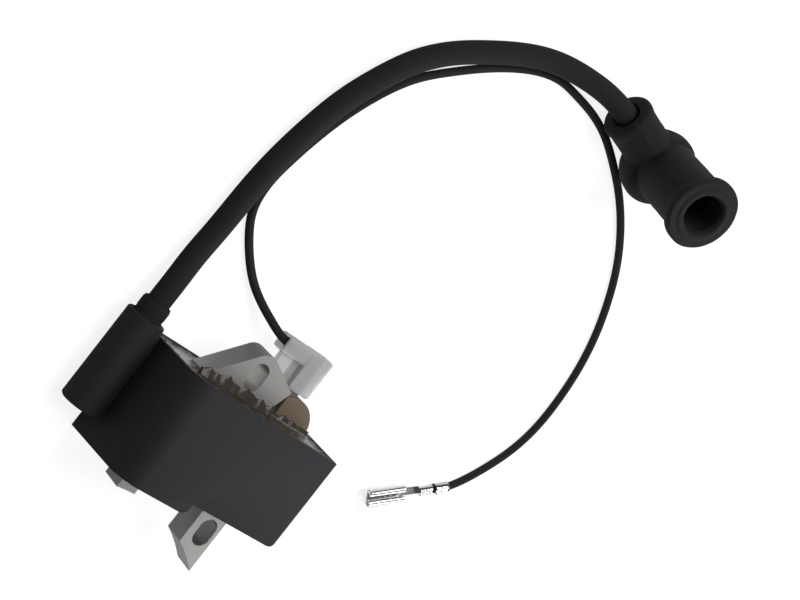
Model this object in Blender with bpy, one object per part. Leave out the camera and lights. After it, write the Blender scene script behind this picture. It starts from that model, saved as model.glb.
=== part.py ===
"""Potted ignition coil for a small two-stroke engine, with its high-tension lead, rubber elbow boot
and thin stop wire, modelled as separate solids.

Frame: +Z is the direction in which the core's laminations are stacked, +Y is the way the high-tension
lead leaves, away from the flywheel, and +X runs along the case away from the lead's tower.  The
origin is at the bottom centre of the coil without its wires.  Sizes below are in millimetres.
"""

import math

import bmesh
import bpy
from mathutils import Matrix, Vector

MM = 0.001
GAP = 0.3                 # room left between two pieces that touch
SMOOTH = math.radians(35)
GUIDE = "guide_"          # how the names of the cutting and joining shapes begin

# --- case -------------------------------------------------------------------------------------------
CASE_LEFT = -21.0
CASE_RIGHT = 33.2
CASE_HEIGHT = 30.0
CASE_BACK = 16.8          # open face that the resin is poured through
CASE_FRONT = -12.8
STEP_FRONT = -16.2        # the coil side of the case reaches further towards the flywheel
FRONT_DRAFT = 1.0         # how far the front walls lean in over the case's height
SIDE_DRAFT = 1.0          # how far the coil side's wall leans in up to its shoulder
STEP_X = 3.0
SHOULDER = 7.6            # radius of the edge between the coil side and the top
CASE_CORNER = 2.2
CASE_EDGE = 0.7
WALL = 1.6

# --- lead tower ---------------------------------------------------------------------------------------
TOWER_X = -27.5
TOWER_Z = 5.8
TOWER_RADIUS = 5.7
TOWER_FRONT = -9.5
TOWER_BACK = 19.2
WEB_TOP = 8.2
BORE_RADIUS = 3.6
BORE_FRONT = -2.0
GROMMET_SEAT = 13.7
GROMMET_RADIUS = 4.2
GROMMET_BACK = 24.0

# --- laminated core ---------------------------------------------------------------------------------
CORE_LOW = 11.0
CORE_HIGH = 19.0
COIL_LEG = (-11.8, -5.7)  # left and right sides of the leg that carries the windings
EAR_LEG = (15.4, 24.5)    # left and right sides of the leg that ends in the lower ear
YOKE_FRONT = 9.0
YOKE_BACK = 17.0
YOKE_RIGHT = 27.3
FLYWHEEL_X = -5.7
FLYWHEEL_Y = -65.84
FLYWHEEL_RADIUS = 46.2
SLOT_WIDTH = 5.2
SLOT_LENGTH = 8.2
UPPER_SLOT = (2.2, 23.1)
LOWER_SLOT = (20.5, -19.5)
EAR_TOP_X = 2.4
EAR_TOP_Y = 25.6
EAR_TOP_RADIUS = 4.4
KEEPER_X = 20.1
KEEPER_RADIUS = 7.9
KEEPER_FRONT = 17.3
KEEPER_HIGH = 17.6
RIVETS = ((-8.7, 13.0), (20.0, 13.0))
RIVET_HEAD = 2.4
RIVET_SHANK = 1.4

# --- coil ---------------------------------------------------------------------------------------------
COIL_X = 0.5 * (COIL_LEG[0] + COIL_LEG[1])
COIL_Z = 0.5 * (CORE_LOW + CORE_HIGH)
COIL_FRONT = -13.2
COIL_BACK = 8.4
BOBBIN_WALL = 0.9
PRIMARY_BUILD = 1.9
SECONDARY_BUILD = 2.2
SECTIONS = 5

# --- switching board ------------------------------------------------------------------------------------
BOARD_X = 4.2
BOARD_THICK = 1.6
STRAP_FRONT = -5.6
STRAP_LOW = 24.0
STRAP_THICK = 0.8
STRAP_RIGHT = 22.2        # the strap bends down here onto the core's ear leg

# --- stop-wire terminals --------------------------------------------------------------------------------
TAB_X = 23.6
TAB_Z = 7.0
TAB_WIDTH = 4.8
TAB_THICK = 0.8
TAB_BACK = 30.0
CRIMP_Y = 33.8
FREE_END = Vector((96.4, 24.1, 2.5))      # where the wire enters the free terminal
FREE_TURN = math.radians(214.9)           # way the free terminal points, about +Z
FREE_BODY_LENGTH = 12.0

# --- leads and boot ---------------------------------------------------------------------------------------
LEAD_RADIUS = 3.25
WIRE_RADIUS = 1.2
BOOT_CENTRE = Vector((76.8, 136.8, 9.0))  # where the boot's sleeve and socket axes cross
BOOT_TURN = math.radians(-10.0)
BOOT_ROLL = math.radians(12.0)
SLEEVE_LENGTH = 21.8
SOCKET_HEIGHT = 29.2
HEAD_SHIFT = 0.8          # the boot's round head sits a little off the socket's axis

LEAD_ROUTE = [
    (-27.5, 2.0, 5.8), (-27.5, 9.5, 5.8), (-27.5, 17.0, 5.8), (-27.4, 24.5, 5.7), (-26.9, 31.4, 5.0),
    (-26.2, 38.5, 3.9), (-25.4, 46.5, 3.4), (-25.0, 55.2, 3.3), (-24.6, 64.0, 3.3), (-23.5, 73.5, 3.3),
    (-21.6, 83.2, 3.3), (-18.8, 93.4, 3.3), (-14.3, 103.7, 3.3), (-8.5, 113.4, 3.3), (-0.9, 121.4, 3.4),
    (8.2, 128.1, 3.6), (18.0, 134.2, 4.3), (28.3, 138.6, 5.4), (37.4, 140.5, 6.9), (45.8, 141.2, 8.2),
    (52.2, 140.9, 8.85), (58.5, 140.03, 9.0), (64.7, 138.93, 9.0), (70.9, 137.84, 9.0),
]

WIRE_ROUTE = [
    (18.4, 33.8, 7.0), (15.2, 33.8, 7.0), (12.2, 33.95, 7.0), (8.8, 34.6, 6.5), (5.0, 36.1, 4.9),
    (0.4, 38.3, 3.0), (-4.4, 41.2, 1.7), (-10.0, 45.8, 1.25), (-15.0, 51.0, 1.25), (-18.7, 56.6, 1.25),
    (-20.1, 64.0, 1.25), (-19.0, 73.2, 1.25), (-16.9, 82.2, 1.25), (-13.9, 91.5, 1.25),
    (-9.6, 101.0, 1.25), (-3.6, 110.2, 1.25), (3.7, 117.4, 1.25), (12.0, 124.3, 1.25),
    (21.3, 130.6, 1.25), (30.7, 134.9, 1.25), (36.5, 136.1, 1.25), (42.4, 136.1, 1.25),
    (51.5, 135.4, 1.25), (60.0, 133.4, 1.25), (69.1, 129.3, 1.25), (79.9, 122.9, 1.25),
    (88.6, 115.8, 1.25), (96.2, 107.4, 1.25), (102.3, 97.8, 1.25), (107.0, 87.6, 1.25),
    (110.2, 76.6, 1.25), (111.7, 65.0, 1.25), (111.5, 53.6, 1.25), (108.9, 43.2, 1.3),
    (104.3, 34.4, 1.7), (99.1, 27.2, 2.3), (95.0, 23.07, 2.5), (92.4, 21.3, 2.5),
]


# ---------------------------------------------------------------------------------------------------
# scene, materials and finishing
# ---------------------------------------------------------------------------------------------------

def clear_scene():
    for item in list(bpy.data.objects):
        bpy.data.objects.remove(item)


def make_material(name, colour, roughness, metallic=0.0, alpha=1.0):
    made = bpy.data.materials.new(name)
    made.use_nodes = True
    shader = made.node_tree.nodes["Principled BSDF"]
    shader.inputs["Base Color"].default_value = (*colour, 1.0)
    shader.inputs["Roughness"].default_value = roughness
    shader.inputs["Metallic"].default_value = metallic
    shader.inputs["Alpha"].default_value = alpha
    made.diffuse_color = (*colour, alpha)
    return made


def finish(name, shape, material, at=(0.0, 0.0, 0.0), turn=(0.0, 0.0, 0.0)):
    """Turn a bmesh in millimetres into an object whose own origin is the shape's zero point."""
    bmesh.ops.recalc_face_normals(shape, faces=shape.faces)
    bmesh.ops.scale(shape, vec=(MM, MM, MM), verts=shape.verts)
    mesh = bpy.data.meshes.new(name)
    shape.to_mesh(mesh)
    shape.free()
    made = bpy.data.objects.new(name, mesh)
    bpy.context.scene.collection.objects.link(made)
    made.location = Vector(at) * MM
    made.rotation_euler = turn
    if material is not None:
        mesh.materials.append(material)
    mesh.shade_smooth()
    mesh.set_sharp_from_angle(angle=SMOOTH)
    return made


def combine(target, tool, operation):
    """Join, cut or cross the target with a tool object, which is then only a guide."""
    modifier = target.modifiers.new(tool.name, "BOOLEAN")
    modifier.operation = operation
    modifier.object = tool
    modifier.solver = "EXACT"
    tool.hide_render = True
    tool.display_type = "WIRE"


def settle():
    """Apply every piece's Booleans, mark its sharp edges and take the guides away."""
    graph = bpy.context.evaluated_depsgraph_get()
    pieces = [item for item in bpy.data.objects if item.type == "MESH" and not item.hide_render]
    cut = [item for item in pieces if item.modifiers]
    meshes = [bpy.data.meshes.new_from_object(item.evaluated_get(graph)) for item in cut]
    for item, mesh in zip(cut, meshes):
        item.modifiers.clear()
        item.data = mesh
        mesh.name = item.name
        mesh.shade_smooth()
        mesh.set_sharp_from_angle(angle=SMOOTH)
    for item in [item for item in bpy.data.objects if item.name.startswith(GUIDE)]:
        bpy.data.objects.remove(item)


def guide(name, shape, at=(0.0, 0.0, 0.0), turn=(0.0, 0.0, 0.0)):
    return finish(GUIDE + name, shape, None, at, turn)


# ---------------------------------------------------------------------------------------------------
# basic shapes, all in millimetres
# ---------------------------------------------------------------------------------------------------

def block(low, high, rounding=0.0, segments=2):
    shape = bmesh.new()
    bmesh.ops.create_cube(shape, size=1.0)
    size = Vector(high) - Vector(low)
    centre = (Vector(high) + Vector(low)) * 0.5
    bmesh.ops.scale(shape, vec=size, verts=shape.verts)
    bmesh.ops.translate(shape, vec=centre, verts=shape.verts)
    if rounding > 0.0:
        bmesh.ops.bevel(shape, geom=list(shape.edges), offset=rounding, offset_type="OFFSET",
                        segments=segments, profile=0.5, affect="EDGES")
    return shape


def prism(outline, low, high, axis="Z"):
    """Extrude an outline along one axis; it is drawn in XY for Z, in XZ for Y and in YZ for X."""
    spread = {"Z": lambda a, b, c: (a, b, c), "Y": lambda a, b, c: (a, c, b),
              "X": lambda a, b, c: (c, a, b)}[axis]
    shape = bmesh.new()
    ring = [shape.verts.new(spread(a, b, low)) for a, b in outline]
    face = shape.faces.new(ring)
    grown = bmesh.ops.extrude_face_region(shape, geom=[face])
    moved = [item for item in grown["geom"] if isinstance(item, bmesh.types.BMVert)]
    bmesh.ops.translate(shape, vec=spread(0.0, 0.0, high - low), verts=moved)
    return shape


def loft(lower, low, upper, high):
    """Join two outlines of the same count, drawn in XY at two heights, into one closed shape."""
    shape = bmesh.new()
    bottom = [shape.verts.new((a, b, low)) for a, b in lower]
    top = [shape.verts.new((a, b, high)) for a, b in upper]
    shape.faces.new(list(reversed(bottom)))
    shape.faces.new(top)
    for index in range(len(bottom)):
        after = (index + 1) % len(bottom)
        shape.faces.new((bottom[index], bottom[after], top[after], top[index]))
    return shape


def arc(centre, radius, start, end, steps):
    """Points along a circle's arc, with angles in degrees."""
    points = []
    for index in range(steps + 1):
        angle = math.radians(start + (end - start) * index / steps)
        points.append((centre[0] + radius * math.cos(angle), centre[1] + radius * math.sin(angle)))
    return points


def rounded_box_outline(low, high, radius, steps=4):
    """Outline of a rectangle with round corners, counter-clockwise."""
    (left, bottom), (right, top) = low, high
    outline = []
    for corner, start in (((right - radius, bottom + radius), -90), ((right - radius, top - radius), 0),
                          ((left + radius, top - radius), 90), ((left + radius, bottom + radius), 180)):
        outline += arc(corner, radius, start, start + 90, steps)
    return outline


def slot_outline(centre, width, length, steps=10):
    """Outline of a slot with round ends, long along the second axis."""
    radius = 0.5 * width
    reach = 0.5 * length - radius
    top = arc((centre[0], centre[1] + reach), radius, 0, 180, steps)
    bottom = arc((centre[0], centre[1] - reach), radius, 180, 360, steps)
    return top + bottom


def turned(profile, segments=32, axis="Z"):
    """Turn a profile of (radius, height) pairs about an axis; radius zero closes an end."""
    shape = bmesh.new()
    rings = []
    for radius, height in profile:
        count = 1 if radius < 1e-6 else segments
        ring = []
        for index in range(count):
            angle = 2.0 * math.pi * index / segments
            ring.append(shape.verts.new((radius * math.cos(angle), radius * math.sin(angle), height)))
        rings.append(ring)
    for first, second in zip(rings, rings[1:]):
        for index in range(segments):
            after = (index + 1) % segments
            if len(first) == 1:
                shape.faces.new((first[0], second[index], second[after]))
            elif len(second) == 1:
                shape.faces.new((first[index], first[after], second[0]))
            else:
                shape.faces.new((first[index], first[after], second[after], second[index]))
    if axis == "X":
        bmesh.ops.transform(shape, matrix=Matrix.Rotation(math.radians(90), 4, "Y"), verts=shape.verts)
    if axis == "Y":
        bmesh.ops.transform(shape, matrix=Matrix.Rotation(math.radians(-90), 4, "X"), verts=shape.verts)
    return shape


def rod(radius, low, high, segments=24, axis="Z"):
    return turned([(0.0, low), (radius, low), (radius, high), (0.0, high)], segments, axis)


def pipe(outer, inner, low, high, segments=24, axis="Z"):
    """A plain tube: the profile runs round the wall and closes on itself."""
    shape = bmesh.new()
    corners = [(outer, low), (outer, high), (inner, high), (inner, low)]
    rings = []
    for radius, height in corners:
        ring = []
        for index in range(segments):
            angle = 2.0 * math.pi * index / segments
            ring.append(shape.verts.new((radius * math.cos(angle), radius * math.sin(angle), height)))
        rings.append(ring)
    for number in range(4):
        first, second = rings[number], rings[(number + 1) % 4]
        for index in range(segments):
            after = (index + 1) % segments
            shape.faces.new((first[index], first[after], second[after], second[index]))
    if axis == "X":
        bmesh.ops.transform(shape, matrix=Matrix.Rotation(math.radians(90), 4, "Y"), verts=shape.verts)
    if axis == "Y":
        bmesh.ops.transform(shape, matrix=Matrix.Rotation(math.radians(-90), 4, "X"), verts=shape.verts)
    return shape


def smooth_path(route, spacing):
    """Evenly spaced points on a natural cubic spline through the route's points."""
    knots = [Vector(point) for point in route]
    times = [0.0]
    for first, second in zip(knots, knots[1:]):
        times.append(times[-1] + (second - first).length)
    bends = spline_bends(knots, times)
    fine = []
    for index in range(len(knots) - 1):
        for step in range(20):
            fine.append(spline_point(knots, times, bends, index, step / 20.0))
    fine.append(knots[-1])
    lengths = [0.0]
    for first, second in zip(fine, fine[1:]):
        lengths.append(lengths[-1] + (second - first).length)
    count = max(2, round(lengths[-1] / spacing))
    points = []
    index = 0
    for number in range(count + 1):
        target = lengths[-1] * number / count
        while index < len(fine) - 2 and lengths[index + 1] < target:
            index += 1
        share = (target - lengths[index]) / (lengths[index + 1] - lengths[index])
        points.append(fine[index].lerp(fine[index + 1], share))
    return points


def spline_bends(knots, times):
    """Second derivatives of the natural cubic spline at its knots, by forward and back substitution."""
    count = len(knots)
    factors = [0.0] * count
    sums = [Vector((0.0, 0.0, 0.0)) for _ in range(count)]
    for index in range(1, count - 1):
        before = times[index] - times[index - 1]
        after = times[index + 1] - times[index]
        slope = (knots[index + 1] - knots[index]) / after - (knots[index] - knots[index - 1]) / before
        pivot = 2.0 * (before + after) - before * factors[index - 1]
        factors[index] = after / pivot
        sums[index] = (6.0 * slope - before * sums[index - 1]) / pivot
    bends = [Vector((0.0, 0.0, 0.0)) for _ in range(count)]
    for index in range(count - 2, 0, -1):
        bends[index] = sums[index] - factors[index] * bends[index + 1]
    return bends


def spline_point(knots, times, bends, index, share):
    """Point at a share of the way along one stretch of the spline."""
    span = times[index + 1] - times[index]
    rest = 1.0 - share
    line = knots[index] * rest + knots[index + 1] * share
    first = bends[index] * (rest ** 3 - rest)
    second = bends[index + 1] * (share ** 3 - share)
    return line + (first + second) * span * span / 6.0


def cord(name, route, radius, spacing, resolution, material):
    """A wire as a bevelled poly curve with closed ends."""
    points = smooth_path(route, spacing)
    curve = bpy.data.curves.new(name, "CURVE")
    curve.dimensions = "3D"
    curve.bevel_depth = radius * MM
    curve.bevel_resolution = resolution
    curve.use_fill_caps = True
    spline = curve.splines.new("POLY")
    spline.points.add(len(points) - 1)
    for slot, point in zip(spline.points, points):
        slot.co = (*(point * MM), 1.0)
    curve.materials.append(material)
    made = bpy.data.objects.new(name, curve)
    bpy.context.scene.collection.objects.link(made)
    return made


# ---------------------------------------------------------------------------------------------------
# case, resin and core
# ---------------------------------------------------------------------------------------------------

def case_profile(inset):
    """The case seen along Y: flat bottom and right side, and a large round shoulder at the top left."""
    left = CASE_LEFT + inset
    right = CASE_RIGHT - inset
    low = inset
    high = CASE_HEIGHT - inset
    shoulder = SHOULDER - inset
    edge = CASE_EDGE
    outline = arc((left - SIDE_DRAFT + edge, low + edge), edge, 180, 270, 2)
    outline += arc((right - edge, low + edge), edge, 270, 360, 2)
    outline += arc((right - edge, high - edge), edge, 0, 90, 2)
    outline += arc((left + shoulder, high - shoulder), shoulder, 90, 180, 8)
    return outline


def case_plan(inset, back, height):
    """The case's front and right side seen from above at one height; its other sides stand clear."""
    lean = FRONT_DRAFT * height / CASE_HEIGHT
    left = CASE_LEFT - 8.0
    right = CASE_RIGHT - inset
    front = CASE_FRONT + inset + lean
    step_front = STEP_FRONT + inset + lean
    step = STEP_X - inset
    corner = max(CASE_CORNER - inset, 0.5)
    outline = [(left, step_front)]
    outline += arc((step - corner, step_front + corner), corner, 270, 360, 3)
    outline += [(step, front)]
    outline += arc((right - corner, front + corner), corner, 270, 360, 4)
    outline += [(right + 0.5, front + corner + 0.5), (right + 0.5, back), (left, back)]
    return outline


def case_walls(name, inset, back):
    """A guide with the case's leaning front walls, taller than the case itself."""
    low, high = -5.0, CASE_HEIGHT + 10.0
    return guide(name, loft(case_plan(inset, back, low), low, case_plan(inset, back, high), high))


def make_housing(material):
    housing = finish("housing", prism(case_profile(0.0), STEP_FRONT - 5.0, CASE_BACK, "Y"), material)
    combine(housing, case_walls("case_walls", 0.0, CASE_BACK + 5.0), "INTERSECT")

    hollow = guide("hollow", prism(case_profile(WALL), STEP_FRONT - 2.0, CASE_BACK + 5.0, "Y"))
    combine(hollow, case_walls("hollow_walls", WALL, CASE_BACK + 4.0), "INTERSECT")
    combine(housing, hollow, "DIFFERENCE")

    tower = turned([(0.0, TOWER_FRONT), (TOWER_RADIUS - 0.5, TOWER_FRONT), (TOWER_RADIUS, TOWER_FRONT + 0.5),
                    (TOWER_RADIUS, TOWER_BACK - 0.4), (TOWER_RADIUS - 0.4, TOWER_BACK), (0.0, TOWER_BACK)],
                   36, "Y")
    combine(housing, guide("tower", tower, (TOWER_X, 0.0, TOWER_Z)), "UNION")
    web = block((TOWER_X, TOWER_FRONT, TOWER_Z - TOWER_RADIUS + 0.3),
                (CASE_LEFT + 0.8, CASE_BACK - 0.4, WEB_TOP))
    combine(housing, guide("web", web), "UNION")

    bore = rod(BORE_RADIUS, BORE_FRONT, TOWER_BACK + 2.0, 32, "Y")
    combine(housing, guide("lead_bore", bore, (TOWER_X, 0.0, TOWER_Z)), "DIFFERENCE")
    seat = rod(GROMMET_RADIUS + GAP, GROMMET_SEAT, TOWER_BACK + 2.0, 32, "Y")
    combine(housing, guide("grommet_seat", seat, (TOWER_X, 0.0, TOWER_Z)), "DIFFERENCE")
    passage = rod(0.9, TOWER_X, CASE_LEFT + 4.0, 12, "X")
    combine(housing, guide("link_passage", passage, (0.0, -1.2, TOWER_Z)), "DIFFERENCE")

    for label, (left, right) in (("coil", COIL_LEG), ("ear", EAR_LEG)):
        window = block((left - GAP, STEP_FRONT - 2.0, CORE_LOW - GAP), (right + GAP, -8.0, CORE_HIGH + GAP))
        combine(housing, guide("window_" + label, window), "DIFFERENCE")
    return housing


def make_resin(material):
    """The hardened resin that closes the case's open face around the core's yoke and the stop tab."""
    front, back = YOKE_FRONT + 0.4, CASE_BACK - 0.8
    resin = finish("potting_resin", prism(case_profile(WALL + GAP), front, back, "Y"), material)
    yoke = block((COIL_LEG[0] - GAP, front - 2.0, CORE_LOW - GAP),
                 (YOKE_RIGHT + GAP, back + 2.0, CORE_HIGH + GAP))
    combine(resin, guide("yoke_room", yoke), "DIFFERENCE")
    half_width, half_thick = 0.5 * TAB_WIDTH + GAP, 0.5 * TAB_THICK + GAP
    tab = block((TAB_X - half_width, front - 2.0, TAB_Z - half_thick),
                (TAB_X + half_width, back + 2.0, TAB_Z + half_thick))
    combine(resin, guide("tab_room", tab), "DIFFERENCE")
    for number, place in enumerate(RIVETS, start=1):
        room = rod(RIVET_HEAD + GAP, CORE_LOW - 1.8, CORE_HIGH + 1.8, 16)
        combine(resin, guide("rivet_room_%d" % number, room, (*place, 0.0)), "DIFFERENCE")
    return resin


def flywheel_arc(start_x, end_x, steps):
    """Points on the circle that the pole faces follow, a running gap outside the flywheel."""
    points = []
    for index in range(steps + 1):
        x = start_x + (end_x - start_x) * index / steps
        rise = math.sqrt(FLYWHEEL_RADIUS ** 2 - (x - FLYWHEEL_X) ** 2)
        points.append((x, FLYWHEEL_Y + rise))
    return points


def core_outline():
    """The lamination's outline, counter-clockwise from the coil leg's pole face."""
    outline = flywheel_arc(COIL_LEG[0], COIL_LEG[1], 4)
    outline += [(COIL_LEG[1], YOKE_FRONT), (EAR_LEG[0], YOKE_FRONT)]
    outline += flywheel_arc(EAR_LEG[0], EAR_LEG[1], 6)
    outline += [(EAR_LEG[1], YOKE_FRONT), (YOKE_RIGHT, YOKE_FRONT), (YOKE_RIGHT, YOKE_BACK)]
    outline += [(11.8, YOKE_BACK), (14.7, 24.6)]
    outline += arc((EAR_TOP_X, EAR_TOP_Y), EAR_TOP_RADIUS, 68, 132, 8)
    outline += [(-10.3, 18.6), (COIL_LEG[0], YOKE_BACK)]
    return outline


def make_core(material, rivet_material):
    core = finish("core_stack", prism(core_outline(), CORE_LOW, CORE_HIGH), material)
    for label, centre in (("upper", UPPER_SLOT), ("lower", LOWER_SLOT)):
        cutter = prism(slot_outline(centre, SLOT_WIDTH, SLOT_LENGTH), CORE_LOW - 2.0, CORE_HIGH + 2.0)
        combine(core, guide("slot_" + label, cutter), "DIFFERENCE")
    for number, place in enumerate(RIVETS, start=1):
        hole = rod(RIVET_SHANK + GAP, CORE_LOW - 2.0, CORE_HIGH + 2.0, 16)
        combine(core, guide("rivet_hole_%d" % number, hole, (*place, 0.0)), "DIFFERENCE")
        half = [(0.0, -1.5), (RIVET_HEAD, -1.1), (RIVET_HEAD, -GAP), (RIVET_SHANK, -GAP)]
        shape = turned([(radius, CORE_LOW + rise) for radius, rise in half]
                       + [(radius, CORE_HIGH - rise) for radius, rise in reversed(half)], 16)
        finish("core_rivet_%d" % number, shape, rivet_material, (*place, 0.0))
    return core


def make_keeper(material):
    """Half-round stack of laminations against the yoke, beyond the leg that carries the lower ear."""
    outline = [(KEEPER_X - KEEPER_RADIUS, KEEPER_FRONT)]
    outline += [(KEEPER_X + KEEPER_RADIUS, KEEPER_FRONT)]
    outline += arc((KEEPER_X, KEEPER_FRONT - 1.0), KEEPER_RADIUS, 12, 168, 16)
    keeper = finish("yoke_keeper", prism(outline, CORE_LOW + 0.2, KEEPER_HIGH), material)
    ear = block((5.0, 16.0, CORE_LOW - 2.0), (15.2, 26.0, CORE_HIGH + 2.0))
    combine(keeper, guide("ear_room", ear), "DIFFERENCE")
    return keeper


# ---------------------------------------------------------------------------------------------------
# windings and electronics
# ---------------------------------------------------------------------------------------------------

def frame_tube(half_x, half_z, wall, low, high, radius):
    """A rectangular tube along Y about the coil's axis, with its inner half sizes and outer corners."""
    outer = rounded_box_outline((-half_x - wall, -half_z - wall), (half_x + wall, half_z + wall), radius)
    inner_radius = max(radius - wall, 0.3)
    inner = rounded_box_outline((-half_x, -half_z), (half_x, half_z), inner_radius)
    shape = bmesh.new()
    rings = []
    for outline, height in ((outer, low), (outer, high), (inner, high), (inner, low)):
        rings.append([shape.verts.new((a, height, b)) for a, b in outline])
    for number in range(4):
        first, second = rings[number], rings[(number + 1) % 4]
        for index in range(len(outer)):
            after = (index + 1) % len(outer)
            shape.faces.new((first[index], first[after], second[after], second[index]))
    return shape


def make_bobbin(name, half_x, half_z, build, flanges, corner, material):
    """A tube with flat flanges, on which a winding of the given build-up sits."""
    at = (COIL_X, 0.0, COIL_Z)
    tube = frame_tube(half_x, half_z, BOBBIN_WALL, COIL_FRONT, COIL_BACK, 1.2)
    bobbin = finish(name, tube, material, at)
    for number, place in enumerate(flanges):
        reach = BOBBIN_WALL + GAP + build
        plate = frame_tube(half_x + 0.2, half_z + 0.2, reach - 0.2, place, place + BOBBIN_WALL, corner)
        combine(bobbin, guide("%s_flange_%d" % (name, number), plate, at), "UNION")
    return bobbin


def make_windings(bobbin_material, wire_material, tape_material):
    at = (COIL_X, 0.0, COIL_Z)
    half_x = 0.5 * (COIL_LEG[1] - COIL_LEG[0]) + GAP
    half_z = 0.5 * (CORE_HIGH - CORE_LOW) + GAP
    ends = (COIL_FRONT, COIL_BACK - BOBBIN_WALL)
    make_bobbin("primary_bobbin", half_x, half_z, PRIMARY_BUILD, ends, 1.8, bobbin_material)
    step = BOBBIN_WALL + GAP
    winding = frame_tube(half_x + step, half_z + step, PRIMARY_BUILD, ends[0] + step, ends[1] - GAP, 1.8)
    finish("primary_winding", winding, wire_material, at)

    half_x += step + PRIMARY_BUILD + GAP
    half_z += step + PRIMARY_BUILD + GAP
    pitch = (ends[1] - ends[0]) / SECTIONS
    places = [ends[0] + pitch * number for number in range(SECTIONS + 1)]
    make_bobbin("secondary_bobbin", half_x, half_z, SECONDARY_BUILD, places, 4.2, bobbin_material)
    for number in range(SECTIONS):
        section = frame_tube(half_x + step, half_z + step, SECONDARY_BUILD - 0.3,
                             places[number] + step, places[number + 1] - GAP, 2.4)
        finish("secondary_winding_%d" % (number + 1), section, tape_material, at)


def make_electronics(board_material, black_material, body_material, metal_material):
    """The switching board beside the coil, with its parts, between the two core legs."""
    finish("control_board", block((0.0, -8.5, -10.5), (BOARD_THICK, 8.0, 10.5)), board_material,
           (BOARD_X, 0.0, COIL_Z))
    face = BOARD_X + BOARD_THICK + GAP
    finish("power_transistor", block((0.0, -4.4, -3.2), (4.4, 4.4, 3.2), 0.4), black_material,
           (face, 2.4, 7.8))
    finish("trigger_transistor", block((0.0, -2.0, -1.6), (3.4, 2.0, 1.6), 0.3), black_material,
           (face, -5.2, 7.2))
    finish("timing_capacitor", block((0.0, -4.2, -2.4), (4.6, 4.2, 2.4), 0.8), body_material,
           (face, -2.6, 21.4))
    for number, place in enumerate(((face, 5.2, 15.6), (face, 5.2, 20.4)), start=1):
        shape = turned([(0.0, -2.6), (0.9, -2.5), (1.1, -1.6), (0.9, -1.2), (0.9, 1.2), (1.1, 1.6),
                        (0.9, 2.5), (0.0, 2.6)], 16, "Y")
        finish("board_resistor_%d" % number, shape, body_material, (place[0] + 1.2, place[1], place[2]))
    strap_high = STRAP_LOW + STRAP_THICK
    foot = CORE_HIGH + GAP
    strap = prism([(face, STRAP_LOW), (STRAP_RIGHT - STRAP_THICK, STRAP_LOW),
                   (STRAP_RIGHT - STRAP_THICK, foot), (STRAP_RIGHT, foot), (STRAP_RIGHT, strap_high),
                   (face, strap_high)], -2.0, 2.0, "Y")
    finish("earth_strap", strap, metal_material, (0.0, STRAP_FRONT, 0.0))


def make_tab(material):
    """The stop-wire blade: it starts beside the board and stands out of the resin."""
    half = 0.5 * TAB_WIDTH
    outline = [(-half, 0.0), (half, 0.0), (half, TAB_BACK - 1.0 - 4.0), (half - 0.8, TAB_BACK - 4.0),
               (0.8 - half, TAB_BACK - 4.0), (-half, TAB_BACK - 1.0 - 4.0)]
    tab = finish("stop_tab", prism(outline, -0.5 * TAB_THICK, 0.5 * TAB_THICK), material,
                 (TAB_X, 4.0, TAB_Z))
    hole = rod(0.8, -2.0, 2.0, 12)
    combine(tab, guide("tab_hole", hole, (TAB_X, TAB_BACK - 3.2, TAB_Z)), "DIFFERENCE")
    return tab


# ---------------------------------------------------------------------------------------------------
# high-tension side
# ---------------------------------------------------------------------------------------------------

def make_tower_parts(brass, rubber):
    contact = turned([(0.0, BORE_FRONT + GAP), (2.6, BORE_FRONT + GAP), (2.6, BORE_FRONT + 1.1),
                      (0.7, BORE_FRONT + 1.3), (0.7, 0.8), (0.0, 1.7)], 16, "Y")
    finish("ht_contact_pin", contact, brass, (TOWER_X, 0.0, TOWER_Z))
    link = rod(0.5, TOWER_X + 2.6 + GAP, CASE_LEFT + WALL + 0.2, 12, "X")
    finish("ht_link_wire", link, brass, (0.0, -1.2, TOWER_Z))
    grommet = pipe(GROMMET_RADIUS, LEAD_RADIUS + GAP, GROMMET_SEAT + GAP, GROMMET_BACK, 32, "Y")
    finish("lead_grommet", grommet, rubber, (TOWER_X, 0.0, TOWER_Z))


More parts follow.
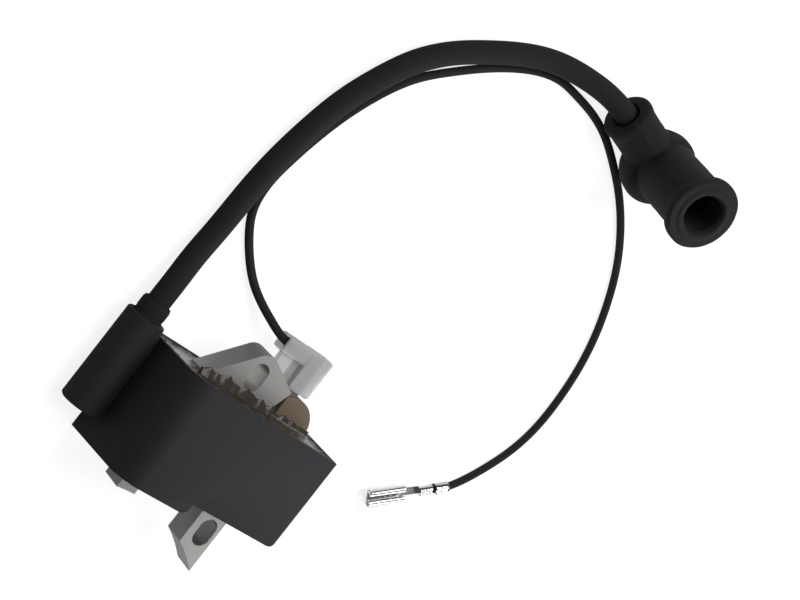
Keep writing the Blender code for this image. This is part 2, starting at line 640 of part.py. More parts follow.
def make_boot(rubber, steel):
    """Rubber elbow: a turned head and socket about its own Z, and a sleeve for the lead along -X."""
    turn = (BOOT_ROLL, 0.0, BOOT_TURN)
    head = [(0.0, -8.4), (3.0, -8.3), (6.2, -7.5), (8.8, -5.8), (10.5, -3.2), (11.3, -0.2), (11.3, 2.2),
            (10.7, 3.8), (9.5, 4.9), (0.0, 4.9)]
    boot = finish("spark_plug_boot", turned(head, 36), rubber, BOOT_CENTRE, turn)
    for vertex in boot.data.vertices:
        vertex.co.y -= HEAD_SHIFT * MM
    top = SOCKET_HEIGHT
    socket = turned([(0.0, -5.0), (8.6, -5.0), (9.2, 4.0), (9.3, top - 5.0), (9.8, top - 3.8),
                     (10.6, top - 3.1), (10.7, top - 1.2), (10.2, top - 0.5), (7.2, top), (0.0, top)], 36)
    combine(boot, guide("boot_socket", socket, BOOT_CENTRE, turn), "UNION")
    mouth = -SLEEVE_LENGTH
    sleeve = turned([(0.0, mouth), (6.9, mouth), (7.4, mouth + 0.5), (7.4, mouth + 1.8), (7.1, mouth + 2.8),
                     (7.0, -3.0), (0.0, -3.0)], 32, "X")
    combine(boot, guide("boot_sleeve", sleeve, BOOT_CENTRE, turn), "UNION")
    well = turned([(0.0, -4.2), (4.4, -4.2), (4.4, 6.0), (5.4, 8.5), (5.7, top - 4.0), (6.7, top),
                   (6.7, top + 3.0), (0.0, top + 3.0)], 32)
    combine(boot, guide("boot_well", well, BOOT_CENTRE, turn), "DIFFERENCE")
    bore = rod(LEAD_RADIUS + GAP + 0.05, mouth - 3.0, -3.0, 32, "X")
    combine(boot, guide("boot_bore", bore, BOOT_CENTRE, turn), "DIFFERENCE")
    make_boot_spring(steel, turn)
    return boot


def make_boot_spring(material, turn):
    """The coil spring that grips the plug's terminal: a helix closed by flat ends, swept as rings."""
    turns, per_turn, sides = 4, 14, 6
    radius, wire, low, rise = 3.4, 0.45, -3.2, 2.2
    shape = bmesh.new()
    rings = []
    for index in range(turns * per_turn + 1):
        angle = 2.0 * math.pi * index / per_turn
        outward = Vector((math.cos(angle), math.sin(angle), 0.0))
        along = Vector((-math.sin(angle), math.cos(angle), rise / (2.0 * math.pi * radius))).normalized()
        across = along.cross(outward)
        centre = outward * radius + Vector((0.0, 0.0, low + rise * index / per_turn))
        ring = []
        for side in range(sides):
            tilt = 2.0 * math.pi * side / sides
            spot = centre + outward * wire * math.cos(tilt) + across * wire * math.sin(tilt)
            ring.append(shape.verts.new(spot))
        rings.append(ring)
    for first, second in zip(rings, rings[1:]):
        for side in range(sides):
            after = (side + 1) % sides
            shape.faces.new((first[side], first[after], second[after], second[side]))
    shape.faces.new(rings[0])
    shape.faces.new(list(reversed(rings[-1])))
    finish("boot_contact_spring", shape, material, BOOT_CENTRE, turn)


# ---------------------------------------------------------------------------------------------------
# stop wire terminals
# ---------------------------------------------------------------------------------------------------

def channel_outline(width, height, sheet, lip):
    """Cross-section of a push-on receptacle: a flat floor with both sides rolled in over the blade."""
    half = 0.5 * width
    low, high = -0.5 * height, 0.5 * height
    return [(-half, low), (half, low), (half, high), (half - lip, high), (half - lip, high - sheet),
            (half - sheet, high - sheet), (half - sheet, low + sheet), (sheet - half, low + sheet),
            (sheet - half, high - sheet), (lip - half, high - sheet), (lip - half, high), (-half, high)]


def make_flag_terminal(tin, clear):
    """Push-on terminal with its crimp set square to the blade, and its moulded sleeve."""
    width, height, sheet = 6.2, 2.2, 0.4
    front, back = 24.4, 31.8
    shape = prism(channel_outline(width, height, sheet, 2.4), front - CRIMP_Y, back - CRIMP_Y, "Y")
    terminal = finish("flag_receptacle", shape, tin, (TAB_X, CRIMP_Y, TAB_Z))
    plate = block((-3.3, back - CRIMP_Y - 0.5, -0.5 * height), (0.5 * width, 1.5, sheet - 0.5 * height))
    combine(terminal, guide("flag_plate", plate, (TAB_X, CRIMP_Y, TAB_Z)), "UNION")
    barrel = pipe(1.8, WIRE_RADIUS + GAP, -11.2, -3.4, 16, "X")
    combine(terminal, guide("flag_barrel", barrel, (TAB_X, CRIMP_Y, TAB_Z)), "UNION")
    foot = block((-5.0, -1.2, -1.7), (-3.0, 1.2, sheet - 0.5 * height + 0.1))
    combine(terminal, guide("flag_foot", foot, (TAB_X, CRIMP_Y, TAB_Z)), "UNION")

    sleeve_front, sleeve_back = 23.8, CRIMP_Y + 2.4
    outer = block((TAB_X - 4.2, sleeve_front, TAB_Z - 2.9), (TAB_X + 4.2, sleeve_back, TAB_Z + 2.9), 0.8)
    sleeve = finish("flag_sleeve", outer, clear)
    arm = block((10.4, CRIMP_Y - 2.7, TAB_Z - 2.7), (TAB_X - 1.0, sleeve_back - 0.12, TAB_Z + 2.7), 0.7)
    combine(sleeve, guide("sleeve_arm", arm), "UNION")
    flap = block((12.4, 24.4, TAB_Z - 1.0), (TAB_X - 3.9, CRIMP_Y - 2.4, TAB_Z + 1.0), 0.3)
    combine(sleeve, guide("sleeve_flap", flap), "UNION")
    body_room = block((TAB_X - 3.6, 20.0, TAB_Z - 2.3), (TAB_X + 3.6, sleeve_back - 0.45, TAB_Z + 2.3))
    combine(sleeve, guide("sleeve_body_room", body_room), "DIFFERENCE")
    arm_room = block((8.0, CRIMP_Y - 2.1, TAB_Z - 2.15), (TAB_X + 0.2, sleeve_back - 0.3, TAB_Z + 2.15))
    combine(sleeve, guide("sleeve_arm_room", arm_room), "DIFFERENCE")


def make_free_terminal(tin, clear):
    """Straight push-on terminal at the stop wire's free end; its own X points out of its mouth."""
    turn = (0.0, 0.0, FREE_TURN)
    width, height, sheet = 5.2, 2.2, 0.4
    start = 15.0
    body = prism([(-a, b) for a, b in channel_outline(width, height, sheet, 2.0)],
                 start, start + FREE_BODY_LENGTH, "X")
    terminal = finish("free_receptacle", body, tin, FREE_END, turn)
    neck = block((9.4, -1.3, -0.5 * height), (start + 0.6, 1.3, sheet - 0.5 * height))
    combine(terminal, guide("free_neck", neck, FREE_END, turn), "UNION")
    barrel = pipe(1.8, WIRE_RADIUS + GAP, 0.0, 4.6, 16, "X")
    combine(terminal, guide("free_barrel", barrel, FREE_END, turn), "UNION")
    crimp = rod(1.45, 5.6, 10.0, 16, "X")
    combine(terminal, guide("free_crimp", crimp, FREE_END, turn), "UNION")
    strip = block((4.0, -0.9, -1.75), (6.2, 0.9, -1.35))
    combine(terminal, guide("free_strip", strip, FREE_END, turn), "UNION")

    outer = rounded_box_outline((-3.4, -2.45), (3.4, 2.45), 2.2, 5)
    inner = rounded_box_outline((-3.0, -2.05), (3.0, 2.05), 1.8, 5)
    shape = bmesh.new()
    rings = []
    low, high = start - 1.5, start + FREE_BODY_LENGTH + 3.0
    for outline, place in ((outer, low), (outer, high), (inner, high), (inner, low)):
        rings.append([shape.verts.new((place, a, b)) for a, b in outline])
    for number in range(4):
        first, second = rings[number], rings[(number + 1) % 4]
        for index in range(len(outer)):
            after = (index + 1) % len(outer)
            shape.faces.new((first[index], first[after], second[after], second[index]))
    finish("free_sleeve", shape, clear, FREE_END, turn)


# ---------------------------------------------------------------------------------------------------
# whole coil
# ---------------------------------------------------------------------------------------------------

def main():
    clear_scene()
    black = make_material("case_black", (0.024, 0.025, 0.029), 0.42)
    resin = make_material("resin", (0.075, 0.058, 0.042), 0.25)
    steel = make_material("lamination_steel", (0.52, 0.51, 0.49), 0.42, 0.85)
    varnished = make_material("varnished_steel", (0.24, 0.18, 0.12), 0.45, 0.4)
    rivet = make_material("rivet_steel", (0.60, 0.59, 0.57), 0.35, 1.0)
    nylon = make_material("bobbin_nylon", (0.72, 0.68, 0.56), 0.5)
    copper = make_material("copper_wire", (0.62, 0.27, 0.12), 0.35, 0.9)
    tape = make_material("fine_wire", (0.48, 0.20, 0.09), 0.4, 0.7)
    board = make_material("circuit_board", (0.04, 0.17, 0.08), 0.5)
    package = make_material("component_black", (0.03, 0.03, 0.03), 0.5)
    ceramic = make_material("component_body", (0.55, 0.36, 0.12), 0.4)
    brass = make_material("brass", (0.68, 0.52, 0.24), 0.3, 1.0)
    tin = make_material("tin_plate", (0.74, 0.74, 0.72), 0.3, 1.0)
    spring = make_material("spring_steel", (0.55, 0.55, 0.56), 0.3, 1.0)
    rubber = make_material("rubber", (0.020, 0.020, 0.022), 0.6)
    jacket = make_material("lead_jacket", (0.018, 0.018, 0.020), 0.45)
    clear = make_material("clear_vinyl", (0.86, 0.87, 0.86), 0.25, 0.0, 0.55)

    make_housing(black)
    make_resin(resin)
    make_core(steel, rivet)
    make_keeper(varnished)
    make_windings(nylon, copper, tape)
    make_electronics(board, package, ceramic, tin)
    make_tab(tin)
    make_tower_parts(brass, rubber)
    cord("ht_lead", LEAD_ROUTE, LEAD_RADIUS, 2.2 * LEAD_RADIUS, 3, jacket)
    make_boot(rubber, spring)
    make_flag_terminal(tin, clear)
    cord("stop_wire", WIRE_ROUTE, WIRE_RADIUS, 5.0 * WIRE_RADIUS, 2, jacket)
    make_free_terminal(tin, clear)
    settle()


main()
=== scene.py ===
"""Looks of a potted ignition coil: leads, rubber boot, moulded case, laminated core and terminals."""

import math

import bmesh
import bpy
import numpy as np
from bpy.props import FloatProperty, FloatVectorProperty, IntProperty, PointerProperty
from mathutils import Matrix, Vector
from mathutils.geometry import tessellate_polygon


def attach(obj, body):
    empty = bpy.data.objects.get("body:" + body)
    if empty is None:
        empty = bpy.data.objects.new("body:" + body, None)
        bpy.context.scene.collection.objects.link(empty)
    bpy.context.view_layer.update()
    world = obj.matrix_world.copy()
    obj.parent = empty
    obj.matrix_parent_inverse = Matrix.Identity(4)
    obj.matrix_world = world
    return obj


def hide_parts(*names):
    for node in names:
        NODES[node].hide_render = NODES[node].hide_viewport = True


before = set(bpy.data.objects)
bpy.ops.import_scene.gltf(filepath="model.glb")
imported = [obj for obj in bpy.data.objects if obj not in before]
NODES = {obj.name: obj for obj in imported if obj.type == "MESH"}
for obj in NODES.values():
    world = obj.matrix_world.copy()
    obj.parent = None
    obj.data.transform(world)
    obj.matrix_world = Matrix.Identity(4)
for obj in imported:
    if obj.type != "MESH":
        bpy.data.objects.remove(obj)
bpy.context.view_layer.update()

MM = 0.001

bl_info = {
    "name": "Ignition Coil Looks",
    "version": (1, 0, 0),
    "blender": (4, 5, 0),
    "location": "3D View > Sidebar > Ignition Coil",
    "description": "Builds the visible surfaces and finishes of a potted ignition coil",
    "category": "Object",
}

# --- places that follow the frame, in metres -----------------------------------------------------------
LEAD_ROUTE = [
    (-0.0275, 0.0020, 0.0058), (-0.0275, 0.0095, 0.0058), (-0.0275, 0.0170, 0.0058),
    (-0.0274, 0.0245, 0.0057), (-0.0269, 0.0314, 0.0050), (-0.0262, 0.0385, 0.0039),
    (-0.0254, 0.0465, 0.0034), (-0.0250, 0.0552, 0.0033), (-0.0246, 0.0640, 0.0033),
    (-0.0235, 0.0735, 0.0033), (-0.0216, 0.0832, 0.0033), (-0.0188, 0.0934, 0.0033),
    (-0.0143, 0.1037, 0.0033), (-0.0085, 0.1134, 0.0033), (-0.0009, 0.1214, 0.0034),
    (0.0082, 0.1281, 0.0036), (0.0180, 0.1342, 0.0043), (0.0283, 0.1386, 0.0054),
    (0.0374, 0.1405, 0.0069), (0.0458, 0.1412, 0.0082), (0.0522, 0.1409, 0.00885),
    (0.0585, 0.14003, 0.0090), (0.0647, 0.13893, 0.0090), (0.0709, 0.13784, 0.0090),
]
WIRE_ROUTE = [
    (0.0184, 0.0338, 0.0070), (0.0152, 0.0338, 0.0070), (0.0122, 0.03395, 0.0070),
    (0.0088, 0.0346, 0.0065), (0.0050, 0.0361, 0.0049), (0.0004, 0.0383, 0.0030),
    (-0.0044, 0.0412, 0.0017), (-0.0100, 0.0458, 0.00125), (-0.0150, 0.0510, 0.00125),
    (-0.0187, 0.0566, 0.00125), (-0.0201, 0.0640, 0.00125), (-0.0190, 0.0732, 0.00125),
    (-0.0169, 0.0822, 0.00125), (-0.0139, 0.0915, 0.00125), (-0.0096, 0.1010, 0.00125),
    (-0.0036, 0.1102, 0.00125), (0.0037, 0.1174, 0.00125), (0.0120, 0.1243, 0.00125),
    (0.0213, 0.1306, 0.00125), (0.0307, 0.1349, 0.00125), (0.0365, 0.1361, 0.00125),
    (0.0424, 0.1361, 0.00125), (0.0515, 0.1354, 0.00125), (0.0600, 0.1334, 0.00125),
    (0.0691, 0.1293, 0.00125), (0.0799, 0.1229, 0.00125), (0.0886, 0.1158, 0.00125),
    (0.0962, 0.1074, 0.00125), (0.1023, 0.0978, 0.00125), (0.1070, 0.0876, 0.00125),
    (0.1102, 0.0766, 0.00125), (0.1117, 0.0650, 0.00125), (0.1115, 0.0536, 0.00125),
    (0.1089, 0.0432, 0.0013), (0.1043, 0.0344, 0.0017), (0.0991, 0.0272, 0.0023),
    (0.0950, 0.02307, 0.0025), (0.0924, 0.0213, 0.0025),
]


# ---------------------------------------------------------------------------------------------------
# settings a user would change
# ---------------------------------------------------------------------------------------------------

class CoilSizes(bpy.types.PropertyGroup):
    """Sizes that can be changed in the sidebar"""
    lead_diameter: FloatProperty(
        name="High-tension lead", description="Outer diameter of the high-tension lead",
        default=0.0065, min=0.004, max=0.009, unit="LENGTH", precision=4)
    wire_diameter: FloatProperty(
        name="Stop wire", description="Outer diameter of the stop wire",
        default=0.0024, min=0.001, max=0.004, unit="LENGTH", precision=4)
    case_edge: FloatProperty(
        name="Case edge", description="Radius of the moulded case's edges",
        default=0.00032, min=0.0, max=0.001, unit="LENGTH", precision=5)
    rubber_voxel: FloatProperty(
        name="Rubber detail", description="Size of the cells that the boot's surface is made of",
        default=0.00028, min=0.0002, max=0.001, unit="LENGTH", precision=5)
    sheet_count: IntProperty(
        name="Core sheets", description="Number of steel sheets in the core's stack",
        default=16, min=6, max=30)


class CoilColours(bpy.types.PropertyGroup):
    """Base colours of the finishes"""
    case: FloatVectorProperty(
        name="Case", description="Moulded case", subtype="COLOR", size=3,
        default=(0.0105, 0.0115, 0.0160), min=0.0, max=1.0)
    rubber: FloatVectorProperty(
        name="Rubber", description="Boot and grommet", subtype="COLOR", size=3,
        default=(0.0105, 0.0108, 0.0118), min=0.0, max=1.0)
    jacket: FloatVectorProperty(
        name="Jackets", description="Jackets of the lead and the stop wire", subtype="COLOR", size=3,
        default=(0.0090, 0.0095, 0.0110), min=0.0, max=1.0)
    steel: FloatVectorProperty(
        name="Core steel", description="Stamped faces of the core", subtype="COLOR", size=3,
        default=(0.215, 0.212, 0.202), min=0.0, max=1.0)
    resin: FloatVectorProperty(
        name="Resin", description="Potting resin", subtype="COLOR", size=3,
        default=(0.0105, 0.0085, 0.0060), min=0.0, max=1.0)
    floor: FloatVectorProperty(
        name="Floor", description="Plain floor under the coil", subtype="COLOR", size=3,
        default=(0.5, 0.5, 0.5), min=0.0, max=1.0)


# ---------------------------------------------------------------------------------------------------
# shader node groups
# ---------------------------------------------------------------------------------------------------

def new_group(name, inputs, outputs):
    """An empty shader group with float or colour sockets; returns the tree and its two end nodes."""
    tree = bpy.data.node_groups.new(name, "ShaderNodeTree")
    for label, kind, value in inputs:
        socket = tree.interface.new_socket(label, in_out="INPUT", socket_type=kind)
        if value is not None:
            socket.default_value = value
    for label, kind in outputs:
        tree.interface.new_socket(label, in_out="OUTPUT", socket_type=kind)
    start = tree.nodes.new("NodeGroupInput")
    end = tree.nodes.new("NodeGroupOutput")
    return tree, start, end


def add(tree, kind, values=None, **settings):
    """A node with its settings and the values of its unlinked inputs."""
    node = tree.nodes.new(kind)
    for key, value in settings.items():
        setattr(node, key, value)
    for key, value in (values or {}).items():
        node.inputs[key].default_value = value
    return node


def maths(tree, operation, first, second=0.0, clamp=False):
    """A maths node whose inputs are sockets or numbers; returns its result socket."""
    node = tree.nodes.new("ShaderNodeMath")
    node.operation = operation
    node.use_clamp = clamp
    for index, value in enumerate((first, second)):
        if isinstance(value, (int, float)):
            node.inputs[index].default_value = value
        else:
            tree.links.new(value, node.inputs[index])
    return node.outputs[0]


def noise(tree, vector, scale, detail=3.0, rough=0.55):
    """Noise value read at a position socket; the scale is a number or a socket."""
    node = add(tree, "ShaderNodeTexNoise", {"Detail": detail, "Roughness": rough})
    tree.links.new(vector, node.inputs["Vector"])
    if isinstance(scale, (int, float)):
        node.inputs["Scale"].default_value = scale
    else:
        tree.links.new(scale, node.inputs["Scale"])
    return node.outputs["Fac"]


def ramp(tree, value, low, high, to_low=0.0, to_high=1.0):
    """Value brought from one range to another, smoothly and held at the ends."""
    node = add(tree, "ShaderNodeMapRange", {"From Min": low, "From Max": high, "To Min": to_low,
                                            "To Max": to_high}, interpolation_type="SMOOTHSTEP")
    tree.links.new(value, node.inputs["Value"])
    return node.outputs["Result"]


def mix(tree, share, first, second):
    """Colour between two colours, which are sockets or plain colours."""
    node = tree.nodes.new("ShaderNodeMix")
    node.data_type = "RGBA"
    if isinstance(share, (int, float)):
        node.inputs[0].default_value = share
    else:
        tree.links.new(share, node.inputs[0])
    for index, value in ((6, first), (7, second)):
        if hasattr(value, "is_linked"):
            tree.links.new(value, node.inputs[index])
        else:
            node.inputs[index].default_value = (*value[:3], 1.0)
    return node.outputs[2]


def make_grain_group():
    """Fine moulded or cast grain: a height, and a roughness change, from two sizes of noise."""
    tree, start, end = new_group(
        "fine_grain",
        [("Vector", "NodeSocketVector", None), ("Scale", "NodeSocketFloat", 4000.0),
         ("Cloud Scale", "NodeSocketFloat", 180.0)],
        [("Height", "NodeSocketFloat"), ("Cloud", "NodeSocketFloat")])
    fine = noise(tree, start.outputs["Vector"], start.outputs["Scale"], 4.0, 0.6)
    cloud = noise(tree, start.outputs["Vector"], start.outputs["Cloud Scale"], 4.0, 0.6)
    tree.links.new(fine, end.inputs["Height"])
    tree.links.new(cloud, end.inputs["Cloud"])
    return tree


def make_dust_group():
    """Dust specks: small spots at random places, from the distance to scattered points, thinned by noise."""
    tree, start, end = new_group(
        "dust_specks",
        [("Vector", "NodeSocketVector", None), ("Scale", "NodeSocketFloat", 900.0),
         ("Size", "NodeSocketFloat", 0.16), ("Cover", "NodeSocketFloat", 0.5)],
        [("Mask", "NodeSocketFloat")])
    cells = add(tree, "ShaderNodeTexVoronoi", {"Randomness": 1.0}, feature="F1")
    tree.links.new(start.outputs["Vector"], cells.inputs["Vector"])
    tree.links.new(start.outputs["Scale"], cells.inputs["Scale"])
    edge = maths(tree, "SUBTRACT", start.outputs["Size"], cells.outputs["Distance"])
    spot = maths(tree, "MULTIPLY", edge, 12.0, clamp=True)
    pick = add(tree, "ShaderNodeSeparateColor")
    tree.links.new(cells.outputs["Color"], pick.inputs["Color"])
    chosen = maths(tree, "LESS_THAN", pick.outputs[0], start.outputs["Cover"])
    tree.links.new(maths(tree, "MULTIPLY", spot, chosen), end.inputs["Mask"])
    return tree


def make_streak_group():
    """Streaks along one axis: noise read from a position that is squeezed along that axis."""
    tree, start, end = new_group(
        "streaks",
        [("Vector", "NodeSocketVector", None), ("Stretch", "NodeSocketVector", (1.0, 1.0, 1.0)),
         ("Scale", "NodeSocketFloat", 1.0)],
        [("Value", "NodeSocketFloat")])
    squeeze = add(tree, "ShaderNodeVectorMath", operation="MULTIPLY")
    tree.links.new(start.outputs["Vector"], squeeze.inputs[0])
    tree.links.new(start.outputs["Stretch"], squeeze.inputs[1])
    value = noise(tree, squeeze.outputs[0], start.outputs["Scale"], 5.0, 0.65)
    tree.links.new(value, end.inputs["Value"])
    return tree


def group(name):
    """The shared shader group of that name, made the first time it is asked for."""
    makers = {"fine_grain": make_grain_group, "dust_specks": make_dust_group, "streaks": make_streak_group}
    return bpy.data.node_groups.get(name) or makers[name]()


def use_group(tree, name, vector, **values):
    """A placed copy of a shared group, reading the given position socket."""
    node = tree.nodes.new("ShaderNodeGroup")
    node.node_tree = group(name)
    tree.links.new(vector, node.inputs["Vector"])
    for key, value in values.items():
        node.inputs[key.replace("_", " ").title()].default_value = value
    return node


# ---------------------------------------------------------------------------------------------------
# materials
# ---------------------------------------------------------------------------------------------------

def start_material(name, roughness=0.5, metallic=0.0, coordinates="Object", **sockets):
    """A new Principled material; returns it, its tree, its shader and a position socket in metres."""
    made = bpy.data.materials.new(name)
    made.use_nodes = True
    tree = made.node_tree
    shader = tree.nodes["Principled BSDF"]
    shader.inputs["Roughness"].default_value = roughness
    shader.inputs["Metallic"].default_value = metallic
    for key, value in sockets.items():
        shader.inputs[key.replace("_", " ")].default_value = value
    place = add(tree, "ShaderNodeTexCoord")
    return made, tree, shader, place.outputs[coordinates]


def set_bump(tree, shader, heights, strength=1.0):
    """Bump from a sum of (height socket, depth in metres)."""
    total = None
    for height, depth in heights:
        part = maths(tree, "MULTIPLY", height, depth)
        total = part if total is None else maths(tree, "ADD", total, part)
    bump = add(tree, "ShaderNodeBump", {"Strength": strength, "Distance": 1.0})
    tree.links.new(total, bump.inputs["Height"])
    tree.links.new(bump.outputs["Normal"], shader.inputs["Normal"])


def case_finish(colour):
    """Satin black glass-filled nylon: fine grain, faint clouding, a few pale dust specks."""
    made, tree, shader, place = start_material("case_black", Specular_IOR_Level=0.55)
    grain = use_group(tree, "fine_grain", place, scale=5200.0, cloud_scale=160.0)
    cloud = ramp(tree, grain.outputs["Cloud"], 0.3, 0.7)
    dust = use_group(tree, "dust_specks", place, scale=700.0, size=0.11, cover=0.16)
    lighter = tuple(1.35 * value for value in colour)
    base = mix(tree, cloud, colour, lighter)
    speck = maths(tree, "MULTIPLY", dust.outputs["Mask"], 0.28)
    tree.links.new(mix(tree, speck, base, (0.16, 0.16, 0.16)), shader.inputs["Base Color"])
    tree.links.new(ramp(tree, grain.outputs["Cloud"], 0.25, 0.75, 0.40, 0.52), shader.inputs["Roughness"])
    set_bump(tree, shader, [(grain.outputs["Height"], 0.00003), (grain.outputs["Cloud"], 0.00008)], 0.6)
    return made


def rubber_finish(colour):
    """Moulded black rubber with a dull, patchy bloom, rubbed grey spots and small pits."""
    made, tree, shader, place = start_material("rubber", Specular_IOR_Level=0.42)
    grain = use_group(tree, "fine_grain", place, scale=2600.0, cloud_scale=330.0)
    bloom = ramp(tree, grain.outputs["Cloud"], 0.42, 0.70)
    lighter = tuple(2.6 * value for value in colour)
    base = mix(tree, bloom, colour, lighter)
    dust = use_group(tree, "dust_specks", place, scale=1100.0, size=0.15, cover=0.24)
    speck = maths(tree, "MULTIPLY", dust.outputs["Mask"], 0.28)
    tree.links.new(mix(tree, speck, base, (0.12, 0.12, 0.115)), shader.inputs["Base Color"])
    tree.links.new(ramp(tree, grain.outputs["Cloud"], 0.3, 0.7, 0.40, 0.62), shader.inputs["Roughness"])
    set_bump(tree, shader, [(grain.outputs["Height"], 0.00010), (grain.outputs["Cloud"], 0.00040)], 0.8)
    return made


def jacket_finish(colour):
    """Extruded cable jacket: long faint draw lines along the cable, slight clouding, soft shine."""
    made, tree, shader, place = start_material("lead_jacket", coordinates="UV", Specular_IOR_Level=0.5)
    lines = use_group(tree, "streaks", place, stretch=(14.0, 90.0, 1.0), scale=1.0)
    cloud = use_group(tree, "streaks", place, stretch=(60.0, 3.0, 1.0), scale=1.0)
    lighter = tuple(1.8 * value for value in colour)
    shade = ramp(tree, cloud.outputs["Value"], 0.3, 0.7)
    tree.links.new(mix(tree, shade, colour, lighter), shader.inputs["Base Color"])
    tree.links.new(ramp(tree, cloud.outputs["Value"], 0.3, 0.7, 0.27, 0.40), shader.inputs["Roughness"])
    set_bump(tree, shader, [(lines.outputs["Value"], 0.00006), (cloud.outputs["Value"], 0.00012)], 0.5)
    return made


def steel_finish(colour):
    """Stamped core steel: dull grey rolled faces; the side faces are painted dark as painted shade, while the
    pole faces, which face -Y, keep the steel colour.
    """
    made, tree, shader, place = start_material("lamination_steel", metallic=0.5, Specular_IOR_Level=0.3)
    brush = use_group(tree, "streaks", place, stretch=(600.0, 6000.0, 2200.0), scale=1.0)
    grain = use_group(tree, "fine_grain", place, scale=3200.0, cloud_scale=240.0)
    pits = use_group(tree, "dust_specks", place, scale=1500.0, size=0.2, cover=0.35)
    stain = ramp(tree, grain.outputs["Cloud"], 0.40, 0.68)
    darker = tuple(0.66 * value for value in colour)
    lighter = tuple(1.20 * value for value in colour)
    base = mix(tree, ramp(tree, brush.outputs["Value"], 0.25, 0.75), darker, lighter)
    base = mix(tree, maths(tree, "MULTIPLY", stain, 0.45), base, (0.13, 0.118, 0.10))
    # Painted shade: faces that point neither up, down nor towards -Y get the dark colour (0.020, 0.018,
    # 0.016).
    split = add(tree, "ShaderNodeSeparateXYZ")
    tree.links.new(add(tree, "ShaderNodeTexCoord").outputs["Normal"], split.inputs[0])
    flat = ramp(tree, maths(tree, "ABSOLUTE", split.outputs["Z"]), 0.45, 0.8)
    unshaded_pole_faces = ramp(tree, split.outputs["Y"], -0.35, -0.20, 1.0, 0.0)
    base = mix(tree, maths(tree, "MAXIMUM", flat, unshaded_pole_faces), (0.020, 0.018, 0.016), base)
    pit = maths(tree, "MULTIPLY", pits.outputs["Mask"], 0.6)
    tree.links.new(mix(tree, pit, base, (0.07, 0.065, 0.06)), shader.inputs["Base Color"])
    tree.links.new(ramp(tree, grain.outputs["Cloud"], 0.3, 0.7, 0.40, 0.58), shader.inputs["Roughness"])
    set_bump(tree, shader, [(grain.outputs["Height"], 0.00004), (brush.outputs["Value"], 0.00003)], 0.7)
    return made


def varnish_finish():
    """Brown varnish over steel sheets: amber patches, and pale flecks towards the right end that are painted
    highlights.
    """
    made, tree, shader, place = start_material("varnished_steel", metallic=0.2, Coat_Weight=0.5)
    grain = use_group(tree, "fine_grain", place, scale=2400.0, cloud_scale=420.0)
    fleck = use_group(tree, "streaks", place, stretch=(2400.0, 420.0, 900.0), scale=1.0)
    base = mix(tree, ramp(tree, grain.outputs["Cloud"], 0.35, 0.7), (0.030, 0.027, 0.018),
               (0.12, 0.100, 0.065))
    split = add(tree, "ShaderNodeSeparateXYZ")
    tree.links.new(place, split.inputs[0])
    # Painted highlights: pale flecks, more of them towards the right end, mixed into the base colour.
    glint_threshold = ramp(tree, split.outputs["X"], 0.018, 0.024, 0.60, 0.47)
    painted_glint = maths(tree, "SUBTRACT", fleck.outputs["Value"], glint_threshold)
    painted_glint = maths(tree, "MULTIPLY", painted_glint, 14.0, clamp=True)
    tree.links.new(mix(tree, painted_glint, base, (0.66, 0.65, 0.60)), shader.inputs["Base Color"])
    tree.links.new(ramp(tree, grain.outputs["Cloud"], 0.3, 0.7, 0.28, 0.5), shader.inputs["Roughness"])
    set_bump(tree, shader, [(grain.outputs["Height"], 0.00006), (fleck.outputs["Value"], 0.00010)], 0.8)
    return made


def resin_finish(colour):
    """Dark amber potting resin: glossy, with cloudy depth, small bubbles and an uneven skin."""
    made, tree, shader, place = start_material("resin", Specular_IOR_Level=0.5, Coat_Weight=0.5,
                                               Coat_Roughness=0.10)
    grain = use_group(tree, "fine_grain", place, scale=900.0, cloud_scale=210.0)
    bubbles = use_group(tree, "dust_specks", place, scale=1000.0, size=0.2, cover=0.14)
    amber = tuple(min(1.0, 3.0 * value) for value in colour)
    base = mix(tree, ramp(tree, grain.outputs["Cloud"], 0.45, 0.74), colour, amber)
    pale = maths(tree, "MULTIPLY", bubbles.outputs["Mask"], 0.16)
    tree.links.new(mix(tree, pale, base, (0.30, 0.27, 0.20)), shader.inputs["Base Color"])
    tree.links.new(ramp(tree, grain.outputs["Cloud"], 0.3, 0.7, 0.16, 0.32), shader.inputs["Roughness"])
    set_bump(tree, shader, [(grain.outputs["Height"], 0.00006), (grain.outputs["Cloud"], 0.00022)], 0.7)
    return made


def plated_finish(name, colour, roughness=0.22, metallic=1.0):
    """Thin plated or drawn metal: small roughness changes and faint rolling lines."""
    made, tree, shader, place = start_material(name, metallic=metallic)
    lines = use_group(tree, "streaks", place, stretch=(900.0, 4200.0, 4200.0), scale=1.0)
    grain = use_group(tree, "fine_grain", place, scale=3800.0, cloud_scale=700.0)
    darker = tuple(0.72 * value for value in colour)
    tree.links.new(mix(tree, ramp(tree, grain.outputs["Cloud"], 0.35, 0.7), colour, darker),
                   shader.inputs["Base Color"])
    tree.links.new(ramp(tree, lines.outputs["Value"], 0.3, 0.7, roughness, roughness + 0.14),
                   shader.inputs["Roughness"])
    set_bump(tree, shader, [(grain.outputs["Height"], 0.00001), (lines.outputs["Value"], 0.00001)], 0.5)
    return made


def vinyl_finish(name, cover):
    """Clear soft vinyl: cover is how much of it is seen at its least cloudy, and its skin is glossy."""
    made, tree, shader, place = start_material(name, roughness=0.2, Specular_IOR_Level=0.6,
                                               Coat_Weight=0.6, Coat_Roughness=0.08)
    grain = use_group(tree, "fine_grain", place, scale=1200.0, cloud_scale=420.0)
    base = mix(tree, ramp(tree, grain.outputs["Cloud"], 0.3, 0.7), (0.84, 0.85, 0.83), (0.97, 0.97, 0.96))
    tree.links.new(base, shader.inputs["Base Color"])
    tree.links.new(ramp(tree, grain.outputs["Cloud"], 0.35, 0.75, cover, 2.4 * cover), shader.inputs["Alpha"])
    tree.links.new(ramp(tree, grain.outputs["Height"], 0.3, 0.7, 0.14, 0.28), shader.inputs["Roughness"])
    set_bump(tree, shader, [(grain.outputs["Height"], 0.00003), (grain.outputs["Cloud"], 0.0001)], 0.5)
    return made


